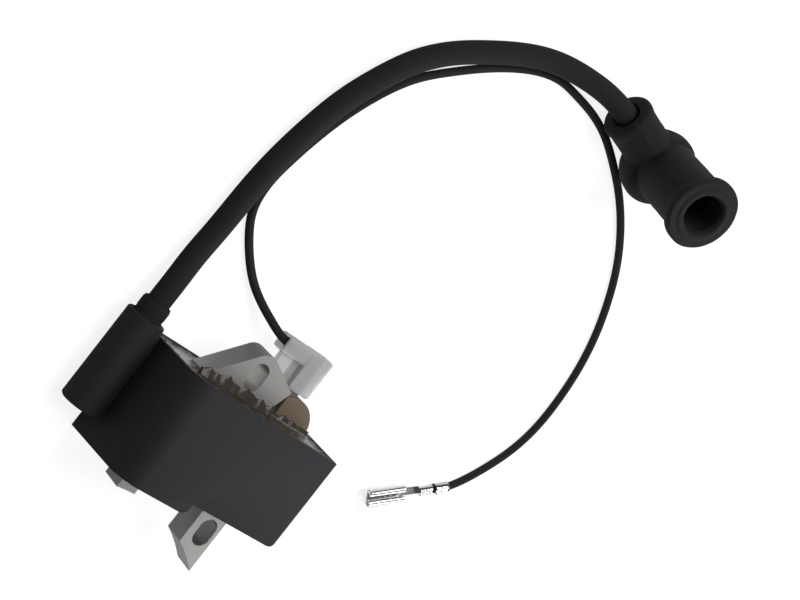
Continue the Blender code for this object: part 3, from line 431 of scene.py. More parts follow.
def hidden_finish(name, colour, roughness=0.5):
    """Finish of the parts sealed in the case: the part's colour with soft patches and fine grain."""
    made, tree, shader, place = start_material(name)
    grain = use_group(tree, "fine_grain", place, scale=3000.0, cloud_scale=500.0)
    darker = tuple(0.6 * value for value in colour)
    tree.links.new(mix(tree, ramp(tree, grain.outputs["Cloud"], 0.3, 0.7), darker, colour),
                   shader.inputs["Base Color"])
    tree.links.new(ramp(tree, grain.outputs["Cloud"], 0.3, 0.7, roughness - 0.08, roughness + 0.08),
                   shader.inputs["Roughness"])
    set_bump(tree, shader, [(grain.outputs["Height"], 0.00005)], 0.6)
    return made


def winding_finish(name, colour, pitch):
    """Wound enamelled wire: round turns side by side along the coil's axis, as bump and shade."""
    made, tree, shader, place = start_material(name, metallic=0.8)
    split = add(tree, "ShaderNodeSeparateXYZ")
    tree.links.new(place, split.inputs[0])
    phase = maths(tree, "MULTIPLY", split.outputs["Y"], math.pi / pitch)
    turn = maths(tree, "ABSOLUTE", maths(tree, "SINE", phase))
    grain = use_group(tree, "fine_grain", place, scale=2000.0, cloud_scale=500.0)
    darker = tuple(0.35 * value for value in colour)
    tree.links.new(mix(tree, ramp(tree, turn, 0.0, 0.7), darker, colour), shader.inputs["Base Color"])
    tree.links.new(ramp(tree, grain.outputs["Cloud"], 0.3, 0.7, 0.28, 0.42), shader.inputs["Roughness"])
    set_bump(tree, shader, [(turn, 0.4 * pitch), (grain.outputs["Height"], 0.00003)], 0.8)
    return made


def floor_finish(colour):
    """Plain pale floor that glows as a lit white table does, but throws less light back than it shows.

    What it throws back grows from the left end of the coil to the right, along the frame's X, and
    shiny surfaces see a brighter strip of it just behind the case.
    """
    made, tree, shader, place = start_material("pale_floor", roughness=0.9, Specular_IOR_Level=0.0,
                                               Emission_Strength=1.0)
    cloud = noise(tree, place, 3.0, 2.0)
    tree.links.new(mix(tree, ramp(tree, cloud, 0.3, 0.7), colour, tuple(0.99 * value for value in colour)),
                   shader.inputs["Base Color"])
    split = add(tree, "ShaderNodeSeparateXYZ")
    tree.links.new(place, split.inputs[0])
    thrown = mix(tree, ramp(tree, split.outputs["X"], -0.04, 0.12), (0.05, 0.05, 0.055), (0.42, 0.43, 0.45))
    ray = add(tree, "ShaderNodeLightPath").outputs
    behind = maths(tree, "MULTIPLY", ramp(tree, split.outputs["Y"], 0.010, 0.016),
                   ramp(tree, split.outputs["Y"], 0.022, 0.030, 1.0, 0.0))
    behind = maths(tree, "MULTIPLY", behind, ramp(tree, split.outputs["X"], -0.03, -0.01))
    behind = maths(tree, "MULTIPLY", behind, ray["Is Glossy Ray"])
    thrown = mix(tree, behind, thrown, (0.80, 0.80, 0.80))
    tree.links.new(mix(tree, ray["Is Camera Ray"], thrown, (0.85, 0.85, 0.85)),
                   shader.inputs["Emission Color"])
    return made


# ---------------------------------------------------------------------------------------------------
# surfaces
# ---------------------------------------------------------------------------------------------------

def grid_faces(rows, columns, closed=True):
    """Quads of a grid of points in rows; closed joins the last column to the first."""
    wide = columns if closed else columns - 1
    row, column = np.meshgrid(np.arange(rows - 1), np.arange(wide), indexing="ij")
    after = (column + 1) % columns
    quads = np.stack([row * columns + column, row * columns + after,
                      (row + 1) * columns + after, (row + 1) * columns + column], axis=-1)
    return quads.reshape(-1, 4)


def make_piece(name, points, faces, finish=None, smooth_angle=35.0, uv=None):
    """An object at the origin from an array of points and a list of faces."""
    mesh = bpy.data.meshes.new(name)
    mesh.from_pydata(np.asarray(points, float).tolist(), [], [list(map(int, face)) for face in faces])
    if uv is not None:
        layer = mesh.uv_layers.new(name="UVMap")
        corners = np.zeros(len(mesh.loops), np.int32)
        mesh.loops.foreach_get("vertex_index", corners)
        layer.data.foreach_set("uv", np.asarray(uv, np.float32)[corners].ravel())
    mesh.validate()
    mesh.shade_smooth()
    mesh.set_sharp_from_angle(angle=math.radians(smooth_angle))
    made = bpy.data.objects.new(name, mesh)
    bpy.context.scene.collection.objects.link(made)
    if finish is not None:
        mesh.materials.append(finish)
    return made


def spline_route(route, spacing):
    """Evenly spaced points on the natural cubic spline through a route's points.

    The second derivatives at the points solve the usual tridiagonal system; between two points the
    curve is the straight line plus (b0*(r^3 - r) + b1*(s^3 - s)) * h^2 / 6 with s the share and r = 1 - s.
    """
    knots = np.asarray(route, float)
    spans = np.linalg.norm(np.diff(knots, axis=0), axis=1)
    count = len(knots)
    slopes = np.diff(knots, axis=0) / spans[:, None]
    inner = np.arange(1, count - 1)
    system = np.eye(count)
    system[inner, inner - 1] = spans[:-1]
    system[inner, inner] = 2.0 * (spans[:-1] + spans[1:])
    system[inner, inner + 1] = spans[1:]
    pull = np.zeros_like(knots)
    pull[1:-1] = 6.0 * np.diff(slopes, axis=0)
    bends = np.linalg.solve(system, pull)
    share = np.linspace(0.0, 1.0, 60, endpoint=False)[None, :, None]
    rest = 1.0 - share
    first, second = knots[:-1, None, :], knots[1:, None, :]
    curve = (bends[:-1, None, :] * (rest ** 3 - rest) + bends[1:, None, :] * (share ** 3 - share))
    fine = first * rest + second * share + curve * (spans ** 2)[:, None, None] / 6.0
    fine = np.vstack([fine.reshape(-1, 3), knots[-1:]])
    along = np.concatenate([[0.0], np.cumsum(np.linalg.norm(np.diff(fine, axis=0), axis=1))])
    places = np.linspace(0.0, along[-1], max(3, int(round(along[-1] / spacing)) + 1))
    return np.stack([np.interp(places, along, fine[:, axis]) for axis in range(3)], axis=1)


def path_frames(path):
    """Tangent, sideways and upward directions at each point of a path that never runs straight up."""
    tangent = np.gradient(path, axis=0)
    tangent /= np.linalg.norm(tangent, axis=1)[:, None]
    side = np.cross(tangent, (0.0, 0.0, 1.0))
    side /= np.linalg.norm(side, axis=1)[:, None]
    return tangent, side, np.cross(side, tangent)


def swept_tube(name, path, radius, sides, finish):
    """Round tube: P(s, a) = path(s) + radius * (side(s) cos a + up(s) sin a), closed by flat ends.

    Its UV map holds the length along the tube and the share of the way round, so a pattern follows it.
    """
    _, side, up = path_frames(path)
    angle = np.linspace(0.0, 2.0 * np.pi, sides, endpoint=False)
    ring = side[:, None, :] * np.cos(angle)[None, :, None] + up[:, None, :] * np.sin(angle)[None, :, None]
    points = (path[:, None, :] + radius * ring).reshape(-1, 3)
    faces = grid_faces(len(path), sides)[:, ::-1].tolist()
    faces.append(list(range(sides)))
    faces.append(list(range(len(points) - sides, len(points)))[::-1])
    along = np.concatenate([[0.0], np.cumsum(np.linalg.norm(np.diff(path, axis=0), axis=1))])
    turn = np.abs(2.0 * angle / (2.0 * np.pi) - 1.0)
    uv = np.stack(np.meshgrid(along * 10.0, turn, indexing="ij"), axis=-1).reshape(-1, 2)
    return make_piece(name, points, orient(points, faces), finish, 60.0, uv)


def orient(points, faces):
    """The same faces, all turned over if the closed shape's signed volume is negative."""
    points = np.asarray(points, float)
    volume = 0.0
    for size in sorted({len(face) for face in faces}):
        same = np.array([face for face in faces if len(face) == size])
        for corner in range(1, size - 1):
            first, second, third = points[same[:, 0]], points[same[:, corner]], points[same[:, corner + 1]]
            volume += np.einsum("ij,ij->", first, np.cross(second, third))
    return faces if volume > 0.0 else [list(face)[::-1] for face in faces]


def lathe(profile, segments, dent=None):
    """Surface of revolution about Z: P(t, a) = (r(t) cos a, r(t) sin a, h(t)).

    The profile is a list of (r, h).  It may be open, and then flat discs close its ends, or end where
    it starts, and then it is a ring.  dent(h, a) gives a length that is taken off the radius.
    """
    profile = np.asarray(profile, float)
    ring = bool(np.allclose(profile[0], profile[-1]))
    turn = np.linspace(0.0, 2.0 * np.pi, segments, endpoint=False)
    if ring:
        profile = profile[:-1]
    radius = np.repeat(profile[:, :1], segments, axis=1)
    height = np.repeat(profile[:, 1:], segments, axis=1)
    if dent is not None:
        radius = radius - dent(height, turn[None, :])
    points = np.stack([radius * np.cos(turn), radius * np.sin(turn), height], axis=-1).reshape(-1, 3)
    rows = len(profile)
    faces = grid_faces(rows, segments).tolist()
    last = (rows - 1) * segments
    if ring:
        faces += [[last + side, last + (side + 1) % segments, (side + 1) % segments, side]
                  for side in range(segments)]
    else:
        faces.append(list(range(segments))[::-1])
        faces.append(list(range(last, last + segments)))
    return points, orient(points, faces)


def scaled(shape):
    """A shape drawn in millimetres brought to metres."""
    points, faces = shape
    return points * MM, faces


def moved(shape, matrix):
    """A shape's points carried by a matrix."""
    points, faces = shape
    matrix = np.array(matrix)
    return points @ matrix[:3, :3].T + matrix[:3, 3], faces


def together(*shapes):
    """Several closed shapes as one list of points and one list of faces."""
    points, faces, start = [], [], 0
    for part_points, part_faces in shapes:
        points.append(part_points)
        faces += [[start + corner for corner in face] for face in part_faces]
        start += len(part_points)
    return np.vstack(points), faces


def outline_normals(outline):
    """Outward direction at each corner of a counter-clockwise outline, longer where the corner is sharp."""
    edge = np.roll(outline, -1, axis=0) - outline
    edge /= np.maximum(np.linalg.norm(edge, axis=1), 1e-12)[:, None]
    normal = np.stack([edge[:, 1], -edge[:, 0]], axis=1)
    both = normal + np.roll(normal, 1, axis=0)
    both /= np.linalg.norm(both, axis=1)[:, None]
    cosine = np.clip((both * normal).sum(axis=1), 0.5, 1.0)
    return both / cosine[:, None]


def stacked_prism(outline, holes, levels, insets):
    """Walls carried up an outline and its holes: P(u, k) = outline(u) - normal(u) * inset(k) at height k.

    The first and last rows are closed by flat faces between the outline and its holes.
    """
    loops = [np.asarray(outline, float)] + [np.asarray(hole, float)[::-1] for hole in holes]
    shapes, rows = [], []
    start = 0
    for loop in loops:
        outward = outline_normals(loop)
        flat = loop[None, :, :] - insets[:, None, None] * outward[None, :, :]
        height = np.repeat(levels[:, None, None], len(loop), axis=1)
        points = np.concatenate([flat, height], axis=2).reshape(-1, 3)
        faces = grid_faces(len(levels), len(loop)).tolist()
        shapes.append((points, faces))
        rows.append((np.arange(start, start + len(loop)),
                     np.arange(start + len(points) - len(loop), start + len(points))))
        start += len(points)
    points, faces = together(*shapes)
    for end in (0, 1):
        index = np.concatenate([row[end] for row in rows])
        flat = [[Vector((*points[corner, :2], 0.0)) for corner in row[end]] for row in rows]
        for triangle in tessellate_polygon(flat):
            a, b, c = (points[index[corner], :2] for corner in triangle)
            area = (b[0] - a[0]) * (c[1] - a[1]) - (b[1] - a[1]) * (c[0] - a[0])
            face = [int(index[corner]) for corner in triangle]
            upwards = area > 0.0
            faces.append(face if upwards == bool(end) else face[::-1])
    return points, faces


def sheet_levels(low, high, count, groove, edge, seed):
    """Heights and insets of a stack of sheets: each sheet has a flat edge between two shallow grooves."""
    thick = (high - low) / count
    step = np.arange(count)
    wander = np.random.default_rng(seed).uniform(0.0, 0.35 * groove, count)
    share = np.array([0.0, 0.16, 0.84])
    levels = (low + thick * (step[:, None] + share[None, :])).ravel()
    insets = np.stack([np.full(count, groove), wander, wander], axis=1).ravel()
    insets[0] = edge
    return np.append(levels, high), np.append(insets, edge)


def arc(centre, radius, start, end, steps):
    """Points of a circle's arc, with angles in degrees."""
    angle = np.radians(np.linspace(start, end, steps + 1))
    return np.stack([centre[0] + radius * np.cos(angle), centre[1] + radius * np.sin(angle)], axis=1)


def slot_outline(centre, width, length, steps=20):
    """Slot with round ends, long along the second axis, counter-clockwise."""
    radius = 0.5 * width
    reach = 0.5 * length - radius
    return np.vstack([arc((centre[0], centre[1] + reach), radius, 0, 180, steps),
                      arc((centre[0], centre[1] - reach), radius, 180, 360, steps)])


def waves(points, size, length, seed):
    """Smooth unevenness: a sum of a few sine waves in random directions, about the given size."""
    random = np.random.default_rng(seed)
    total = np.zeros(len(points))
    for _ in range(7):
        direction = random.normal(size=3)
        direction *= 2.0 * np.pi / (length * random.uniform(0.7, 1.6) * np.linalg.norm(direction))
        total += np.sin(points @ direction + random.uniform(0.0, 2.0 * np.pi))
    return size * total / np.sqrt(7.0)


def folded_sheet(centreline, thickness, places, widen=None):
    """Sheet metal bent along X: a cross-section of even thickness carried through the given places.

    The cross-section is the centreline moved half the thickness to each side.  widen(x) scales it.
    """
    line = np.asarray(centreline, float)
    tangent = np.gradient(line, axis=0)
    tangent /= np.linalg.norm(tangent, axis=1)[:, None]
    normal = np.stack([-tangent[:, 1], tangent[:, 0]], axis=1)
    loop = np.vstack([line + 0.5 * thickness * normal, (line - 0.5 * thickness * normal)[::-1]])
    places = np.asarray(places, float)
    scale = np.ones_like(places) if widen is None else widen(places)
    flat = loop[None, :, :] * scale[:, None, None]
    along = np.repeat(places[:, None, None], len(loop), axis=1)
    points = np.concatenate([along, flat], axis=2).reshape(-1, 3)
    faces = grid_faces(len(places), len(loop)).tolist()
    count = len(line)
    last = len(points) - len(loop)
    for start in (0, last):
        for step in range(count - 1):
            low, high = start + step, start + 2 * count - 1 - step
            face = [low, low + 1, high - 1, high]
            faces.append(face[::-1] if start == 0 else face)
    return points, orient(points, faces)


def arc_profile(points, radius, steps=5):
    """A profile whose inner corners are rounded: each corner becomes a quadratic curve between two cuts."""
    points = np.asarray(points, float)
    made = [points[0]]
    for before, corner, after in zip(points[:-2], points[1:-1], points[2:]):
        back, ahead = before - corner, after - corner
        reach_back = min(radius, 0.45 * np.linalg.norm(back)) / max(np.linalg.norm(back), 1e-12)
        reach_ahead = min(radius, 0.45 * np.linalg.norm(ahead)) / max(np.linalg.norm(ahead), 1e-12)
        start, stop = corner + back * reach_back, corner + ahead * reach_ahead
        share = np.linspace(0.0, 1.0, steps + 1)[:, None]
        made.extend((1 - share) ** 2 * start + 2 * share * (1 - share) * corner + share ** 2 * stop)
    made.append(points[-1])
    return np.array(made)


def apply_modifiers(piece):
    """Give the piece its evaluated mesh and drop its modifiers."""
    graph = bpy.context.evaluated_depsgraph_get()
    graph.update()
    mesh = bpy.data.meshes.new_from_object(piece.evaluated_get(graph))
    piece.modifiers.clear()
    piece.data = mesh
    mesh.name = piece.name
    return piece


def boolean(piece, tool, operation):
    """Join or cut the piece with a tool, which is then removed."""
    modifier = piece.modifiers.new("cut", "BOOLEAN")
    modifier.operation = operation
    modifier.object = tool
    modifier.solver = "EXACT"
    apply_modifiers(piece)
    bpy.data.objects.remove(tool)
    return piece


def copy_of_node(name, node, finish):
    """A merged copy of a CAD node's mesh, with flat areas joined into single faces."""
    shape = bmesh.new()
    shape.from_mesh(NODES[node].data)
    bmesh.ops.remove_doubles(shape, verts=shape.verts, dist=2e-6)
    bmesh.ops.dissolve_limit(shape, angle_limit=math.radians(1.5), verts=shape.verts, edges=shape.edges)
    mesh = bpy.data.meshes.new(name)
    shape.to_mesh(mesh)
    shape.free()
    mesh.materials.append(finish)
    made = bpy.data.objects.new(name, mesh)
    bpy.context.scene.collection.objects.link(made)
    return made


def soften_edges(piece, width, segments=3):
    """Round the piece's sharp edges with a Bevel modifier, then shade it smooth."""
    bevel = piece.modifiers.new("edges", "BEVEL")
    bevel.width = width
    bevel.segments = segments
    bevel.limit_method = "ANGLE"
    bevel.angle_limit = math.radians(30.0)
    bevel.miter_outer = "MITER_ARC"
    bevel.harden_normals = False
    apply_modifiers(piece)
    piece.data.shade_smooth()
    piece.data.set_sharp_from_angle(angle=math.radians(28.0))
    return piece


def settle_piece(piece, body, slot, *nodes):
    """Let a finished piece ride on its body and stand for its CAD nodes. The slot argument is not used."""
    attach(piece, body)
    if nodes:
        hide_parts(*nodes)
    return piece


def give_finish(node, finish):
    """Put a finish on a CAD node that stays visible as it is."""
    NODES[node].data.materials.clear()
    NODES[node].data.materials.append(finish)


def finish_named(name, maker, *values):
    """The finish of that name, made the first time it is asked for."""
    return bpy.data.materials.get(name) or maker(*values)


def settings(context):
    """The scene's sizes and colours."""
    return context.scene.coil_sizes, context.scene.coil_colours


# ---------------------------------------------------------------------------------------------------
# leads
# ---------------------------------------------------------------------------------------------------

class COIL_OT_leads(bpy.types.Operator):
    """Make the high-tension lead and the stop wire at their real lengths"""
    bl_idname = "ignition_coil.leads"
    bl_label = "Leads"

    def execute(self, context):
        sizes, colours = settings(context)
        jacket = finish_named("lead_jacket", jacket_finish, colours.jacket)
        for name, route, width, sides, far_end, pieces, stiffness in (
                ("high_tension_lead", LEAD_ROUTE, sizes.lead_diameter, 40, "connector",
                 ["rubber_boot", "plug_contact_spring"], "stiff"),
                ("thin_stop_wire", WIRE_ROUTE, sizes.wire_diameter, 24, "connector",
                 ["flag_terminal", "flag_cover", "free_terminal", "free_cover"], "medium")):
            path = spline_route(route, 0.25 * width)
            tube = swept_tube(name, path, 0.5 * width, sides, jacket)
            node = "ht_lead" if name == "high_tension_lead" else "stop_wire"
            settle_piece(tube, "module", "lead_jacket", node)
        return {"FINISHED"}


# ---------------------------------------------------------------------------------------------------
# boot
# ---------------------------------------------------------------------------------------------------

BOOT_CENTRE = Vector((0.0768, 0.1368, 0.0090))   # where the sleeve's and the socket's axes cross
BOOT_TURN = math.radians(-10.0)
BOOT_ROLL = math.radians(12.0)
BOOT_PLACE = (Matrix.Translation(BOOT_CENTRE) @ Matrix.Rotation(BOOT_TURN, 4, "Z")
              @ Matrix.Rotation(BOOT_ROLL, 4, "X"))
ALONG_SLEEVE = Matrix.Rotation(math.radians(-90.0), 4, "Y")   # turns a shape's +Z to the boot's -X


class COIL_OT_boot(bpy.types.Operator):
    """Mould the rubber elbow boot around its socket and put the contact spring in it"""
    bl_idname = "ignition_coil.boot"
    bl_label = "Boot"

    def execute(self, context):
        sizes, colours = settings(context)
        rubber = finish_named("rubber", rubber_finish, colours.rubber)
        head = arc_profile([(0.0, -8.4), (3.4, -8.35), (7.6, -6.9), (10.4, -3.6), (11.3, -0.3),
                            (11.25, 2.4), (10.6, 4.0), (9.0, 5.0), (0.0, 5.0)], 1.6)
        socket = arc_profile([(0.0, -5.0), (8.6, -5.0), (9.15, 3.0), (9.25, 23.8), (9.45, 24.8),
                              (10.5, 25.5), (10.85, 26.2), (10.85, 28.3), (10.4, 28.8), (8.6, 28.8),
                              (8.2, 28.75), (8.0, 29.15), (7.0, 29.2), (0.0, 29.2)], 0.3)
        sleeve = arc_profile([(0.0, 3.0), (7.0, 3.0), (7.05, 18.2), (7.35, 19.2), (7.45, 20.6),
                              (7.1, 21.6), (5.6, 21.8), (0.0, 21.8)], 0.6)
        well = [(0.0, -4.2), (4.4, -4.2), (4.4, 6.0), (5.4, 8.5), (5.7, 25.2), (5.75, 28.0), (6.6, 29.3),
                (6.6, 32.0), (0.0, 32.0)]
        bore = [(0.0, 3.0), (3.45, 3.0), (3.45, 19.6), (3.7, 20.6), (4.5, 22.2), (0.0, 22.2)]
        shift = Matrix.Translation((0.0, -0.8, 0.0))
        boot = self.make_solid("rubber_boot", head, shift)
        for profile, place, operation in ((socket, Matrix(), "UNION"), (sleeve, ALONG_SLEEVE, "UNION"),
                                          (well, Matrix(), "DIFFERENCE"), (bore, ALONG_SLEEVE, "DIFFERENCE")):
            boolean(boot, self.make_solid("tool", profile, place), operation)
        self.mould(boot, sizes.rubber_voxel)
        boot.data.materials.clear()
        boot.data.materials.append(rubber)
        settle_piece(boot, "boot", "rubber", "spark_plug_boot")
        self.make_spring()
        return {"FINISHED"}

    def make_solid(self, name, profile, place):
        """A turned solid of the boot, in millimetres."""
        return make_piece(name, *moved(lathe(np.asarray(profile), 96), place))

    def mould(self, boot, voxel):
        """One skin over the joined shapes, eased at its creases, with a parting ridge and soft waves.

        The ridge runs where the boot's own Y is zero: height * exp(-(y / width)^2) along the normal.
        """
        skin = boot.modifiers.new("skin", "REMESH")
        skin.mode = "VOXEL"
        skin.voxel_size = voxel / MM
        ease = boot.modifiers.new("ease", "SMOOTH")
        ease.factor = 0.5
        ease.iterations = 3
        apply_modifiers(boot)
        mesh = boot.data
        points = np.empty(len(mesh.vertices) * 3)
        normals = np.empty(len(mesh.vertices) * 3)
        mesh.vertices.foreach_get("co", points)
        mesh.vertices.foreach_get("normal", normals)
        points, normals = points.reshape(-1, 3), normals.reshape(-1, 3)
        ridge_height, ridge_width, wave_height = 0.16, 0.32, 0.035
        outside = np.hypot(points[:, 0], points[:, 1]) > 6.9
        outside |= points[:, 2] < -5.0
        outside |= (points[:, 0] < -8.0) & (np.hypot(points[:, 1], points[:, 2]) > 6.0)
        burr = 1.0 + 0.9 * np.tanh(waves(points, 1.5, 5.0, 3))
        ridge = ridge_height * burr * np.exp(-(points[:, 1] / ridge_width) ** 2) * outside
        ridge[points[:, 2] > 28.0] = 0.0
        points += normals * (ridge + waves(points, wave_height, 5.0, 8))[:, None]
        points *= MM
        matrix = np.array(BOOT_PLACE)
        points = points @ matrix[:3, :3].T + matrix[:3, 3]
        mesh.vertices.foreach_set("co", points.ravel())
        mesh.update()
        mesh.shade_smooth()

    def make_spring(self):
        """A round wire along the helix (R cos a, R sin a, low + rise * a / 2 pi)."""
        turns, radius, wire, low, rise = 4.0, 3.4, 0.45, -3.2, 2.2
        angle = np.linspace(0.0, 2.0 * np.pi * turns, int(turns * 40))
        path = np.stack([radius * np.cos(angle), radius * np.sin(angle),
                         low + rise * angle / (2.0 * np.pi)], axis=1)
        outward = np.stack([np.cos(angle), np.sin(angle), np.zeros_like(angle)], axis=1)
        tangent = np.gradient(path, axis=0)
        tangent /= np.linalg.norm(tangent, axis=1)[:, None]
        across = np.cross(tangent, outward)
        sides = 12
        around = np.linspace(0.0, 2.0 * np.pi, sides, endpoint=False)[None, :, None]
        points = (path[:, None, :] + wire * (outward[:, None, :] * np.cos(around)
                                             + across[:, None, :] * np.sin(around))).reshape(-1, 3)
        faces = grid_faces(len(path), sides).tolist()
        faces.append(list(range(sides))[::-1])
        faces.append(list(range(len(points) - sides, len(points))))
        shape = moved((points * MM, orient(points, faces)), BOOT_PLACE)
        spring = make_piece("plug_contact_spring", *shape,
                            finish_named("spring_steel", plated_finish, "spring_steel", (0.46, 0.46, 0.47)))
        settle_piece(spring, "boot", "spring_steel", "boot_contact_spring")


# ---------------------------------------------------------------------------------------------------
# case and grommet
# ---------------------------------------------------------------------------------------------------

TOWER_PLACE = Matrix.Translation((-0.0275, 0.0, 0.0058)) @ Matrix.Rotation(math.radians(-90.0), 4, "X")


class COIL_OT_case(bpy.types.Operator):
    """Round the moulded case's edges and make the ribbed grommet at the tower's mouth"""
    bl_idname = "ignition_coil.case"
    bl_label = "Case"

    def execute(self, context):
        sizes, colours = settings(context)
        case = copy_of_node("moulded_case", "housing", finish_named("case_black", case_finish, colours.case))
        soften_edges(case, sizes.case_edge)
        settle_piece(case, "module", "case_black", "housing")

        profile = arc_profile([(3.5, 14.0), (4.2, 14.0), (4.2, 19.6), (4.05, 20.0), (4.2, 20.6),
                               (4.2, 22.9), (3.95, 23.8), (3.5, 24.0), (3.42, 22.0), (3.42, 16.0),
                               (3.5, 14.0)], 0.25)
        grommet = make_piece("tower_grommet", *moved(scaled(lathe(profile, 72)), TOWER_PLACE),
                             finish_named("rubber", rubber_finish, colours.rubber))
        settle_piece(grommet, "module", "rubber", "lead_grommet")
        return {"FINISHED"}


# ---------------------------------------------------------------------------------------------------
# core
# ---------------------------------------------------------------------------------------------------

# sizes of the core in millimetres
CORE_LOW, CORE_HIGH = 11.0, 19.0
CORE_LEFT, CORE_RIGHT = -11.8, 27.3
YOKE_FRONT, YOKE_BACK = 9.0, 17.0
COIL_LEG_RIGHT = -5.7
EAR_LEG_LEFT, EAR_LEG_RIGHT = 15.4, 24.5
SLOT_WIDTH, SLOT_LENGTH = 5.2, 8.2
SLOT_CENTRES = ((2.2, 23.1), (20.5, -19.5))
RIVETS = ((-8.7, 13.0), (20.0, 13.0))
RIVET_HOLE = 1.7


def pole_arc(start, end, steps):
    """The pole faces' circle, a small gap outside the flywheel: y = y0 + sqrt(R^2 - (x - x0)^2)."""
    centre_x, centre_y, radius = -5.7, -65.84, 46.2
    x = np.linspace(start, end, steps + 1)
    return np.stack([x, centre_y + np.sqrt(radius ** 2 - (x - centre_x) ** 2)], axis=1)


class COIL_OT_core(bpy.types.Operator):
    """Stack the stamped sheets of the core and of the keeper, and set the rivets"""
    bl_idname = "ignition_coil.core"
    bl_label = "Core"

    def execute(self, context):
        sizes, colours = settings(context)
        steel = finish_named("lamination_steel", steel_finish, colours.steel)
        outline = np.vstack([
            pole_arc(CORE_LEFT, COIL_LEG_RIGHT, 8),
            [(COIL_LEG_RIGHT, YOKE_FRONT), (EAR_LEG_LEFT, YOKE_FRONT)],
            pole_arc(EAR_LEG_LEFT, EAR_LEG_RIGHT, 12),
            [(EAR_LEG_RIGHT, YOKE_FRONT), (CORE_RIGHT, YOKE_FRONT), (CORE_RIGHT, YOKE_BACK),
             (11.8, YOKE_BACK), (14.7, 24.6)],
            arc((2.4, 25.6), 4.4, 68, 132, 16), [(-10.3, 18.6), (CORE_LEFT, YOKE_BACK)]])
        holes = [slot_outline(centre, SLOT_WIDTH, SLOT_LENGTH) for centre in SLOT_CENTRES]
        holes += [arc(place, RIVET_HOLE, 0, 345, 23) for place in RIVETS]
        levels, insets = sheet_levels(CORE_LOW, CORE_HIGH, sizes.sheet_count, 0.055, 0.09, 11)
        sheets = scaled(stacked_prism(outline, holes, levels, insets))
        core = make_piece("laminated_core", *sheets, steel, 25.0)
        settle_piece(core, "module", "lamination_steel", "core_stack")

        keeper = np.vstack([[(15.5, 17.3), (28.0, 17.3)], arc((20.1, 16.3), 7.9, 12, 124, 30)])
        keeper = np.vstack([keeper, [(15.5, 22.6)]])
        levels, insets = sheet_levels(11.2, 17.6, sizes.sheet_count - 3, 0.08, 0.16, 5)
        stack = make_piece("keeper_sheets", *scaled(stacked_prism(keeper, [], levels, insets)),
                           finish_named("varnished_steel", varnish_finish), 25.0)
        settle_piece(stack, "module", "varnished_steel", "yoke_keeper")

        rivet = finish_named("rivet_steel", plated_finish, "rivet_steel", (0.42, 0.41, 0.40), 0.3)
        half = arc_profile([(0.0, -1.5), (1.7, -1.4), (2.4, -0.95), (2.4, -0.3), (1.4, -0.3), (1.4, 0.4)],
                           0.25)
        lower = half + (0.0, CORE_LOW)
        upper = half[::-1] * (1.0, -1.0) + (0.0, CORE_HIGH)
        for number, place in enumerate(RIVETS, start=1):
            shape = moved(scaled(lathe(np.vstack([lower, upper]), 40)),
                          Matrix.Translation((place[0] * MM, place[1] * MM, 0.0)))
            pin = make_piece("stack_rivet_%d" % number, *shape, rivet)
            settle_piece(pin, "module", "rivet_steel", "core_rivet_%d" % number)
        return {"FINISHED"}


# ---------------------------------------------------------------------------------------------------
# resin
# ---------------------------------------------------------------------------------------------------

